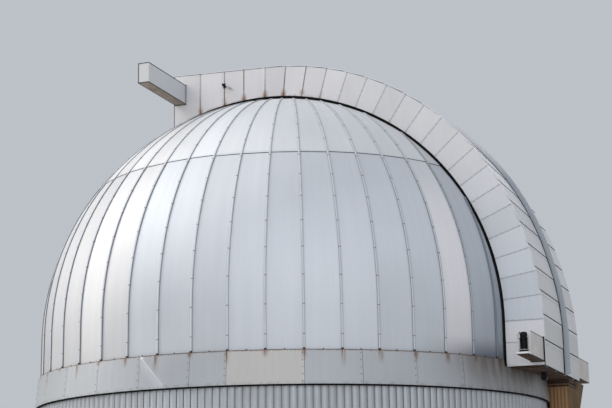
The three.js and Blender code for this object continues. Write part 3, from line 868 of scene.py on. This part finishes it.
def make_skirt():
    rng = random.Random(5)
    # Joints of the sheets, as seam numbers: every gore and a half, but for one narrow sheet and one wide one
    joints = [4, 5.5, 7, 8, 10, 11.5, 13, 14.5, 16, 17.5] + [slit_seam + 1.5 * i for i in range(22)]
    joints = [j - slit_seam for j in joints]
    gap = 0.004 / skirt_top_radius
    sheets, beige, bolts = Solids(), Solids(), []
    slope = (skirt_bottom_radius - skirt_top_radius) / (ring - skirt_low)
    for j, k in zip(joints, joints[1:] + [joints[0] + gore_count]):
        creased = j == creased_joints[0]
        first, last = seam_azimuth(j) + gap, seam_azimuth(k) - gap
        shift = rng.uniform(-0.002, 0.003)
        columns = 28 if creased else max(5, round((last - first) / radians(1.5)))
        grids = []
        for inset in (0.0, skirt_thickness):
            rows = []
            for z in spread(skirt_low, ring - fit_gap, 13 if creased else 3):
                radius = skirt_top_radius + slope * (ring - z) + shift - inset
                row = []
                for a in spread(first, last, columns):
                    bulge = 0.0
                    if creased:
                        # a fold runs down across the sheet, from its upper left
                        u, v = (a - first) / (last - first), (ring - z) / (ring - skirt_low)
                        off = abs(u - fold_start - fold_lean * v) * 1.2
                        bulge = 0.034 * max(0.0, 1 - off / 0.09) * (1 if 0.05 < v < 0.97 else 0)
                    row.append(around(radius + bulge, a, z))
                rows.append(row)
            grids.append(rows)
        (beige if j == beige_joint else sheets).slab(*grids)
        for z in spread(skirt_low + 0.06, ring - 0.06, 5):
            radius = skirt_top_radius + slope * (ring - z) + shift
            side = last - 0.006
            bolts.append((around(radius, side, z), around(1, side, slope), UP))
    notch = Solids().box((-notch_half, -9, notch_low), (notch_half, -5, 9))
    piece("skirt_sheets", cut(sheets, notch), "skirt", "dome",
          ["skirt_front", "skirt_right", "skirt_rear", "skirt_left"], 2.5)
    piece("skirt_sheet_beige", beige, "beige", "dome", (), 2.5)
    grow("skirt_bolts", "bolts", spots_mesh(bolts), {"Radius": 0.013, "Height": 0.01}, "bolt", "dome")
    # a black rubber seal under the skirt's foot, which also stands for the shadow gap between the skirt and
    # the drum
    turns = [seam_azimuth(k / 2) for k in range(2 * gore_count)]
    low_inside = skirt_bottom_radius - skirt_thickness
    seal = tube(low_inside - 0.02, low_inside + 0.012, skirt_low - 0.034, skirt_low + 0.03, turns)
    piece("skirt_seal", seal, "rubber", "dome", (), 5)
    bead, clear_half = Solids(), 2.45
    for k in range(gore_count):
        ends = seam_azimuth(k), seam_azimuth(k + 1)
        if abs(dome_radius * sin(sum(ends) / 2)) < clear_half and cos(ends[0]) > 0:
            continue
        bead.slab(*[[[around(r, a, z) for a in ends] for r in (dome_radius - 0.01, skirt_top_radius - 0.004)]
                    for z in (ring + 0.012, ring + 0.001)])
        bead.slab(*[[[around(r, a, z) for a in ends] for z in (ring + 0.002, ring + 0.022)]
                    for r in (dome_radius + 0.008, dome_radius - 0.012)])
    piece("ring_bead", bead, "bead", "dome")


def make_cladding():
    """A round core with flat sheet ribs on it, a narrow groove between each two, and a foot flashing."""
    low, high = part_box("door_frame")
    turns = [2 * pi * (i + 0.5) / cladding_sheets for i in range(cladding_sheets)]
    opening = Solids().box((low.x - fit_gap, -9, -0.1), (high.x + fit_gap, -5, high.z + fit_gap))
    walls = [f"drum_wall_{i}" for i in range(1, 6)]
    walls += ["wall_right_of_door", "wall_left_of_door", "wall_over_door"]
    piece("wall_core", cut(tube(wall_inside, core_radius, 0.0, wall_top, turns), opening),
          "valley", "building", walls, 2)
    sunk = 0.002
    shared = {"Count": cladding_sheets, "Radius": (cladding_radius + core_radius - sunk) / 2, "Width": 0.148,
              "Crown": 0.138, "Depth": cladding_radius - core_radius + sunk, "Gap": high.x + 0.03,
              "High": cladding_top}
    for name, rib_low, inside in (("cladding_ribs", 0.002, 0),
                                  ("cladding_ribs_over_door", high.z + 0.05, 1)):
        grow(name, "ribs", bpy.data.meshes.new("ribs"), dict(shared, Low=rib_low, Inside=inside),
             "clad", "building")
    flashing = tube(cladding_radius - 0.02, cladding_radius + 0.006, 0.001, 0.14, turns)
    piece("base_flashing", cut(flashing, opening), "trim", "building", (), 2)
    surround, face = Solids(), -cladding_radius - 0.004
    for sign in (-1, 1):
        surround.box((sign * (high.x + 0.001), face, 0.205),
                     (sign * (high.x + 0.035), -core_radius + 0.06, high.z + 0.04))
    surround.box((-high.x, face, high.z + 0.001), (high.x, -core_radius + 0.04, high.z + 0.04))
    piece("door_surround", surround, "trim", "building")


def corner_radius(k):
    """The leaf's outer line at joint k: it flares out over the lowest panels."""
    return leaf_radius + leaf_flare * max(0.0, 1 - k / flare_panels)


def leaf_edge(angle):
    """The radius of the leaf's faceted outer line at an angle over the front horizontal."""
    k = min(panel_count - 1, max(0, int(angle / panel_pitch + 1e-6)))
    first, last = corner_radius(k), corner_radius(k + 1)
    past, left = angle - k * panel_pitch, (k + 1) * panel_pitch - angle
    return first * last * sin(panel_pitch) / (first * sin(past) + last * sin(left))


def on_edge(angle, rise):
    return polar(leaf_edge(angle) + rise, angle)


def top_height(s):
    """The leaf's top line behind the crown, where it climbs a little to the rear."""
    climb = leaf_rear_top - centre - leaf_radius
    return leaf_radius + climb * min(1.0, max(0.0, -s / leaf_rear))


def window_of(beam):
    """The window round a beam as two corners, a little larger than the opening in the wall behind it."""
    low, high = beam
    room = 0.025
    return (-high.y - room, low.z - centre - room), (-low.y + room, high.z - centre + room)


def across_span(sign, wall_gap, left_seam, right_seam):
    """From the side wall to the seam between the leaves, as (low, high)."""
    return sorted((sign * (leaf_half + wall_gap), leaf_split + (left_seam if sign < 0 else right_seam)))


def make_wall_sheets(side, sign):
    gap, drop, inner = 0.0035, 0.005, wall_inner
    near, far = sign * leaf_half, sign * (leaf_half + 0.004)
    rear, turn = drop - leaf_rear, gap / leaf_radius
    joints = [k * panel_pitch - radians(0.2) for k in range(panel_count + 1)]
    sheets, rubber = Solids(), Solids()

    def heel(s):
        return s, sqrt(inner ** 2 - s ** 2)

    def top(s):
        return s, top_height(s) - drop

    def sheet(*outline):
        sheets.across(outline, near, far)

    for a, b in zip(joints, joints[1:]):
        first, last = a + turn, b - turn
        bends = [k * panel_pitch for k in range(panel_count + 1) if first < k * panel_pitch < last]
        sheet(*[on_edge(t, -drop) for t in [first] + bends + [last]],
              *[polar(inner, t) for t in spread(last, first, 4)])

    # behind the crown the joints stand upright, and the rearmost sheet leaves room for the beam
    (w0, v0), (w1, v1) = window_of(upper_beam)
    edge = [polar(inner, joints[-1] + turn), polar(leaf_radius - drop, joints[-1] + turn)]
    for s in [*rear_joints, None]:
        end = w1 if s is None else gap - s
        sheet(*[heel(u) for u in spread(end, edge[0][0], 4)][:-1], *edge, top(end))
        if s:
            edge = [heel(-s - gap), (-s - gap, top(-s)[1])]
    sheet(heel(rear), heel(w1), (w1, v0), (rear, v0))
    sheet((rear, v1), (w1, v1), top(w1), top(rear))

    # below the front horizontal: a sheet beside the beam, a foot sheet, and a strip before the beam
    (w0, v0), (w1, v1) = window_of(lower_beam)
    face, level, low, first = leaf_front - 0.004, -0.512, leaf_low - centre + 0.005, joints[0] - turn
    sheet(polar(inner, first), (face, face * tan(first)), (face, v1), (w0, v1), (w0, level + gap),
          (inner, level + gap))
    sheet((inner, level - gap), (inner, low), (w1, low), (w1, v0), (w0, v0), (w0, level - gap))

    # the lip round the inner edge, the strip at the front, and the rims over the crown and down the rear,
    # all black: the lip is a rubber lip that also stands for the shadow gap over the dome, the strip is a
    # painted shadow of the slot beside the beam, and the rims are painted shadow lines under the skin's
    # overhang
    lip_in, lip_foot, lip_rise, rim = inner - 0.012, inner + 0.003, 0.05, 0.012
    line = spread(0.0, acos(rear / lip_in), 56)
    outline = [(lip_foot, low + 0.01)]
    outline += [polar(lip_foot + lip_rise * min(1.0, t / radians(85)) ** 1.5, t) for t in line]
    outline += [polar(lip_in, t) for t in reversed(line)] + [(lip_in, low + 0.01)]
    rubber.across(outline, far, far + sign * 0.006)
    rubber.across([(w1 - 0.012, low), (face, low), (face, v1 - 0.003), (w1 - 0.012, v1 - 0.003)], near, far)
    runs, turns = spread(rear, -0.02, 6), spread(pi / 2 - 0.004, radians(50), 24)
    over, under = ([(s, top_height(s) - down) for s in runs] + [on_edge(t, -down) for t in turns]
                   for down in (0.0, rim))
    rubber.across(over + under[::-1], far - sign * 0.001, far + sign * 0.004)
    # the rear rims run on down past the wall's foot and into the dome
    for h0, h1 in ((heel(rear)[1] + 0.03, v0), (v1, top_height(rear) - rim - 0.002)):
        rubber.across([(rear, h0), (rear + rim, h0), (rear + rim, h1), (rear, h1)], far - sign * 0.001,
                      far + sign * 0.004)
    piece(f"{side}_wall_lip_and_shadow_lines", rubber, "rubber", f"{side}_leaf")
    piece(f"{side}_wall_sheets", sheets, "leaf", f"{side}_leaf")

    # two rows of rivets beside each joint
    spots = []
    for a in joints:
        for r in spread(inner + 0.06, leaf_radius - 0.06, 6):
            spots += [(r * cos(a) - b * sin(a), r * sin(a) + b * cos(a)) for b in (-0.022, 0.022)]
    for s in rear_joints:
        for h in spread(heel(s)[1] + 0.06, top_height(-s) - 0.06, 6):
            spots += [(-s - b, h) for b in (-0.022, 0.022)]
    rivets = [(Vector((far, -s, centre + h)), Vector((sign, 0, 0)), UP) for s, h in spots]
    grow(f"{side}_wall_rivets", "bolts", spots_mesh(rivets), {"Radius": 0.006, "Height": 0.005, "Sides": 6},
         "bolt", f"{side}_leaf")


def make_leaf_skin(side, sign):
    """Lapped sheets over the front and the top: each lower edge stands over the sheet below it."""
    low, high = across_span(sign, 0.012, -0.01, 0.11)
    skin = Solids()
    under, flush, corner, lapped = -0.003, 0.006, 0.009, 0.017
    bottom = leaf_low - centre + 0.002
    skin.across([(leaf_front + under, bottom), (leaf_front + flush, bottom),
                 (leaf_front + flush, front_joint), (leaf_front + under, front_joint)], low, high)
    laps = [k * panel_pitch + lap_turn for k in range(panel_count)]
    skin.across([(leaf_front + under, front_joint), (leaf_front + lapped, front_joint),
                 (leaf_front + corner, 0.0), on_edge(laps[0], flush), on_edge(laps[0], under)], low, high)
    for k, (a, b) in enumerate(zip(laps, laps[1:] + [None])):
        bend = polar(corner_radius(k + 1) + corner, (k + 1) * panel_pitch)
        end = [on_edge(b, rise) if b else (-0.008, leaf_radius + rise) for rise in (flush, under)]
        skin.across([on_edge(a, flush - 0.002), on_edge(a, lapped), bend] + end, low, high)
    tops = [-0.012, *(-s for s in rear_joints), -(leaf_rear + 0.014)]
    for s, t in zip(tops, tops[1:]):
        skin.across([(s, top_height(s) + under), (s, top_height(s) + flush),
                     (t + 0.004, top_height(t) + 0.011), (t + 0.004, top_height(t) + under)], low, high)
    piece(f"{side}_skin_sheets", skin, "front", f"{side}_leaf")


def make_leaf_lap_shadows(side, sign):
    """Dark strips of painted shadow: one under each lap of the front sheets, and one beside the weather rib.
    """
    low, high = across_span(sign, 0.01, -0.012, 0.112)
    strips = Solids()
    reach, rise, sunk = 0.02, 0.0105, 0.002
    turn = reach / leaf_radius
    for k in range(panel_count):
        a = k * panel_pitch + lap_turn
        strips.across([on_edge(t, r) for r, t in ((sunk, a - turn), (rise, a - turn), (rise, a), (sunk, a))],
                      low, high)
    strips.across([(leaf_front + r, h) for r, h in ((0, front_joint - reach), (rise, front_joint - reach),
                                                    (rise, front_joint), (0, front_joint))], low, high)
    if sign < 0:
        outline, foot = [], leaf_low - centre + 0.004
        for rise, step in ((0.024, 1), (-0.004, -1)):
            side_line = [(leaf_front + rise, foot)]
            for t in spread(0.0, pi / 2, 60):
                side_line.append(polar(leaf_edge(min(t, panel_count * panel_pitch)) + rise, t))
            outline += side_line[::step]
        strips.across(outline, leaf_split - 0.04, leaf_split - 0.008)
    piece(f"{side}_lap_shadow_strips", strips, "rubber", f"{side}_leaf")


def make_rear_sheets(side, sign):
    wall, seam = sign * (leaf_half + 0.004), leaf_split + (-0.01 if sign < 0 else 0.008)
    top = leaf_rear_top - centre - 0.046
    clear, gap = 6.306, 0.005
    sheets = Solids()
    edges = sorted([seam + (wall - seam) * u for u in (0, 0.33, 0.66, 1)])
    for a, b in zip(edges, edges[1:]):
        loop = [(x, sqrt(clear ** 2 - (leaf_rear + gap) ** 2 - x ** 2) + 0.006)
                for x in spread(a + gap, b - gap, 5)]
        loop += [(b - gap, top), (a + gap, top)]
        sheets.prism(*[[(x, y, centre + h) for x, h in loop] for y in (leaf_rear, leaf_rear + 0.005)])
    piece(f"{side}_rear_sheets", sheets, "leaf", f"{side}_leaf")


def make_rib_straps():
    low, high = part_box("weather_rib")
    straps, turn = Solids(), 0.004
    for k in range(0, panel_count, 2):
        a = (k + 0.5) * panel_pitch
        corners = ((0.02, -turn), (0.134, -turn), (0.134, turn), (0.02, turn))
        outline = [polar(leaf_edge(a) + rise, a + t) for rise, t in corners]
        straps.across(outline, low.x - 0.002, high.x + 0.002)
    piece("rib_straps", straps, "rib", "right_leaf")


def edge_bars(solids, low, high, wide, rise, pale):
    """Square trims along the four long edges of a beam that runs across, and round its two ends. The front
    corners go into the pale solids."""
    inset = wide - rise
    for y, dy in ((low.y, -1), (high.y, 1)):
        for z, dz in ((low.z, -1), (high.z, 1)):
            solids.box((low.x - rise, y + dy * rise, z + dz * rise),
                       (high.x + rise, y - dy * inset, z - dz * inset))
    for x, dx in ((low.x, -1), (high.x, 1)):
        x0, x1 = x + dx * rise, x - dx * inset
        for z0, z1 in ((low.z - rise, low.z + inset), (high.z - inset, high.z + rise)):
            solids.box((x0, low.y + inset, z0), (x1, high.y - inset, z1))
        for y0, y1, made in ((low.y - rise, low.y + inset, pale), (high.y - inset, high.y + rise, solids)):
            made.box((x0, y0, low.z + inset), (x1, y1, high.z - inset))


def make_beam_covers():
    """Edge trims on both beams, sheets on their sides and ends, and boards under them."""
    wide, margin, parts, planks, thin = 0.016, 0.012, 7, 6, 0.003
    trims, ends, covers = Solids(), Solids(), []
    for (low, high), rise in ((upper_beam, 0.008), (lower_beam, 0.004)):
        sheets, slats = Solids(), Solids()
        covers.append((sheets, slats))
        edge_bars(trims, low, high, wide, rise, sheets)
        pitch = (high.y - low.y - 2 * wide) / planks
        for i in range(planks):
            y = low.y + wide + i * pitch
            slats.box((low.x + 0.03, y + 0.004, low.z - 0.004),
                      (high.x - 0.03, y + pitch - 0.004, low.z + 0.002))
        run = (high.x - low.x - 2 * margin) / parts
        for i in range(parts):
            x = low.x + margin + i * run
            for y0, y1 in ((low.y - thin, low.y), (high.y, high.y + thin)):
                sheets.box((x + 0.002, y0, low.z + margin), (x + run - 0.002, y1, high.z - margin))
    (sheets, upper_slats), (low_sheets, slats) = covers
    low, high = upper_beam
    for x, cover in ((low.x, -thin), (high.x, thin)):
        sheets.box((x, low.y + margin, low.z + margin), (x + cover, high.y - margin, high.z - margin))
    low, high = lower_beam
    for x, cover in ((low.x, -0.006), (high.x, 0.006)):
        ends.box((x, low.y - 0.004, low.z + 0.045), (x + cover, high.y + thin, high.z + 0.004))
    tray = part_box("lower_rail_beam")[0].x
    ends.box((tray - thin, low.y - thin, low.z + 0.002), (low.x - 0.006, high.y + thin, low.z + 0.043))
    slats.box((tray + 0.004, low.y + 0.004, low.z - 0.004), (low.x + 0.02, high.y - 0.004, low.z + 0.001))
    for name, solids, finish, slot in (("beam_trims", trims, "trim", "beam_sheet"),
                                       ("beam_slats", slats, "slat", "brown_steel"),
                                       ("upper_beam_slats", upper_slats, "board", "brown_steel"),
                                       ("beam_sheets", sheets, "beam", "beam_sheet"),
                                       ("lower_beam_sheets", low_sheets, "low_beam", "beam_sheet"),
                                       ("beam_ends", ends, "end", "beam_sheet")):
        piece(name, solids, finish, "dome")


def make_motor():
    """The upright motor at the beam's near end: foot, finned barrel, collar, cowl, box and conduit."""
    box_low, box_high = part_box("drive_motor")
    foot_radius, fins, bolt_count = 0.112, 20, 8
    axis = Vector((box_high.x - foot_radius, box_low.y + foot_radius, box_low.z))
    dark, light = Solids(), Solids()
    dark.lathe([(foot_radius, 0), (foot_radius, 0.02), (0.1, 0.038), (0.09, 0.045)], axis)
    light.lathe([(0.1, 0.045), (0.1, 0.055), (0.09, 0.06)], axis)
    dark.lathe([(0.072, 0.06), (0.072, 0.3)], axis)
    for i in range(fins):
        t = 2 * pi * i / fins
        along, out = Vector((-sin(t), cos(t), 0)), Vector((cos(t), sin(t), 0))
        section = ((0.07, -0.004), (0.083, -0.003), (0.083, 0.003), (0.07, 0.004))
        loop = [axis + out * r + along * w for r, w in section]
        dark.prism([p + UP * 0.068 for p in loop], [p + UP * 0.294 for p in loop])
    dark.lathe([(0.092, 0.3), (0.096, 0.304), (0.096, 0.314), (0.092, 0.318)], axis)
    dark.lathe([(0.074, 0.318), (0.074, 0.34), (0.082, 0.35), (0.084, 0.4), (0.078, 0.42), (0.062, 0.436),
                (0.04, 0.443), (0, 0.445)], axis)
    box_at = axis + Vector((-0.045, 0.095, 0.35))
    light.box(box_at - Vector((0.038, 0.033, 0.048)), box_at + Vector((0.038, 0.033, 0.042)))
    light.box(box_at + Vector((-0.041, -0.036, 0.042)), box_at + Vector((0.041, 0.036, 0.05)))
    conduit = axis + Vector((-0.03, 0.098, 0.05))
    light.lathe([(0.014, 0), (0.014, 0.02), (0.009, 0.02), (0.009, 0.26)], conduit, 12)
    dark.lathe([(0.012, 0), (0.012, 0.045)], box_at + Vector((0.0, -0.012, 0.05)), 12)
    piece("motor_castings", dark, "dark", "dome", ["drive_motor"], 35)
    piece("motor_fittings", light, "bright", "dome", (), 35)
    turns = [2 * pi * (i + 0.5) / bolt_count for i in range(bolt_count)]
    bolts = [(axis + Vector((0.094 * cos(t), 0.094 * sin(t), 0.06)), UP, Vector((1, 0, 0))) for t in turns]
    grow("motor_bolts", "bolts", spots_mesh(bolts), {"Radius": 0.008, "Height": 0.012, "Sides": 6},
         "clip", "dome")


def make_sill_boards():
    """Boards under the sill and a strip along its front edge."""
    low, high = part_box("leaf_sill")
    console_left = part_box("console")[0].x
    boards = Solids()
    skirt_clear, plank, pitch, lip = 6.36, 0.079, 0.085, low.y - 0.006
    under = high.z - 0.025
    for i in range(8):
        first = low.y + 0.02 + i * pitch
        inside = -(first + plank)
        end = console_left - 0.012
        if inside < skirt_clear:
            end = -sqrt(skirt_clear ** 2 - inside ** 2) - 0.02
        if end > low.x + 0.1:
            boards.box((low.x + 0.02, first, under - 0.016), (end, first + plank, under + 0.003))
    boards.box((low.x + 0.01, lip, under - 0.012), (console_left - 0.012, low.y + 0.002, high.z - 0.004))
    boards.box((console_left - 0.01, lip, low.z + 0.01), (high.x - 0.01, low.y + 0.002, high.z - 0.004))
    piece("sill_boards", boards, "slat", "dome")
    make_roller(Vector((-0.9, -6.6, under - 0.012)))


def make_roller(top):
    """A roller between two cheeks, hung from a plate."""
    roller, half, cheek, radius, sides = Solids(), 0.09, 0.03, 0.07, 20
    for first, last in (((-half, -0.06, -0.05), (half, 0.06, 0)),
                        ((-half, -0.05, -0.16), (cheek - half, 0.05, -0.05)),
                        ((half - cheek, -0.05, -0.16), (half, 0.05, -0.05))):
        roller.box(top + Vector(first), top + Vector(last))
    turns = [2 * pi * i / sides for i in range(sides)]
    roller.prism(*[[top + Vector((u, radius * cos(t), radius * sin(t) - 0.125)) for t in turns]
                   for u in (-0.055, 0.055)])
    piece("sill_roller", roller, "dark", "dome", (), 30)


def make_console():
    """Upright ribs on the console's near side, a tapered front sheet in darker brown as painted shade, and
    two trims round its head.
    """
    sill_low, sill_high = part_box("leaf_sill")
    low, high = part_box("console")
    ribs, trim, fronts = Solids(), Solids(), Solids()
    near, far, front, top = low.x, high.x, low.y, sill_low.z
    for i in range(5):
        y = front + 0.03 + i * 0.085
        ribs.box((near - 0.012, y, low.z + 0.01), (near + 0.002, y + 0.05, top - 0.1))
    foot = far - 0.95 * (high.z - low.z)
    over_sill = sill_high.x + 0.004
    face = [(near - 0.004, top - 0.001), (over_sill, top - 0.001), (over_sill, high.z - 0.002),
            (far + 0.002, high.z - 0.002), (foot + 0.002, low.z + 0.002), (near - 0.004, low.z + 0.002)]
    fronts.prism(*[[(x, y, z) for x, z in face] for y in (front - 0.006, front + 0.001)])
    for out, deep, low_edge, high_edge in ((0.014, 0.014, 0.085, 0.05), (0.02, 0.018, 0.018, 0.002)):
        trim.box((near - out, front - deep, top - low_edge), (sill_high.x, front + 0.01, top - high_edge))
        trim.box((near - out, front + 0.01, top - low_edge), (near + 0.01, -6.3, top - high_edge))
    piece("console_ribs", ribs, "tan", "dome")
    piece("console_front_shade", fronts, "umber", "dome")
    piece("console_trim", trim, "brown", "dome")


def make_hook():
    """The small bent hook on the near leaf's wall: plate, arm and a tip that slants forward and down."""
    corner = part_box("wall_hook")[1]
    at = Vector((corner.x + 0.001, corner.y - 0.045, corner.z - 0.07))
    hook = Solids()
    hook.box(at + Vector((-0.012, -0.03, -0.065)), at + Vector((0, 0.03, 0.06)))
    hook.box(at + Vector((-0.1, -0.014, -0.022)), at + Vector((-0.01, 0.014, 0.012)))
    tip = [(0.016, 0.03), (-0.016, 0.03), (-0.115, -0.07), (-0.095, -0.085), (0.016, -0.03)]
    hook.prism(*[[at + Vector((x, y, z)) for y, z in tip] for x in (-0.125, -0.1)])
    piece("hook_arm", hook, "dark", "left_leaf", ["wall_hook"])


def make_door():
    """Two raised panels, a kick plate, a handle with its plate, and three hinges with bolts."""
    low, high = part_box("door")
    front = low.y
    panels, iron, bolts = Solids(), Solids(), []
    for z0, z1 in ((low.z + 0.2, low.z + 0.95), (low.z + 1.15, high.z - 0.15)):
        for inset, more in ((0.0, 0.0), (0.05, 0.004)):
            panels.box((low.x + 0.14 + inset, front - 0.006 - more, z0 + inset),
                       (high.x - 0.14 - inset, front + 0.002, z1 - inset))
    iron.box((low.x + 0.03, front - 0.004, low.z + 0.02), (high.x - 0.03, front + 0.002, low.z + 0.17))
    grip = Vector((high.x - 0.07, front, low.z))
    for first, last in (((-0.022, -0.008, 0.98), (0.022, 0.002, 1.16)),
                        ((-0.01, -0.05, 1.06), (0.01, -0.006, 1.08)),
                        ((-0.13, -0.062, 1.058), (0.012, -0.046, 1.082))):
        iron.box(grip + Vector(first), grip + Vector(last))
    for z in (low.z + 0.25, low.z + 1.07, high.z - 0.25):
        iron.box((low.x - 0.012, front - 0.012, z - 0.055), (low.x + 0.05, front + 0.002, z + 0.055))
        bolts += [(Vector((low.x + u, front - 0.012, z + v)), FRONT, UP)
                  for u in (0.01, 0.036) for v in (-0.035, 0.035)]
    piece("door_panels", panels, "door", "building")
    piece("door_ironwork", iron, "bright", "building")
    grow("hinge_bolts", "bolts", spots_mesh(bolts), {"Radius": 0.007, "Height": 0.006, "Sides": 6}, "clip",
         "building")


tools = {"bar": swept_bar(), "blocks": set_blocks(), "bolts": set_bolts(), "ribs": round_ribs()}
paint = make_finishes()
make_studio(make_camera())
make_gores()
make_seals()
make_battens()
make_skirt()
make_cladding()
for side, sign in (("left", -1), ("right", 1)):
    make_wall_sheets(side, sign)
    make_leaf_skin(side, sign)
    make_leaf_lap_shadows(side, sign)
    make_rear_sheets(side, sign)
make_rib_straps()
make_beam_covers()
make_motor()
make_sill_boards()
make_console()
make_hook()
make_door()

# The finish of each solid that shows, by the first of these words in its name
node_words = {"wall_hook": "dark", "drive_motor": "dark", "_leaf_": "under", "curb": "brown",
              "base_ring": "brown", "leaf_sill": "brown", "floor_slab": "concrete",
              "door_sill": "concrete", "track_rail": "rail", "rail_beam": "beam",
              "console": "valley_tan", "weather_rib": "rib", "wall": "valley", "door": "door",
              "": "gore"}
for name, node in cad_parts.items():
    finish = paint[next(finish for word, finish in node_words.items() if word in name)]
    node.data.materials.clear()
    node.data.materials.append(finish)
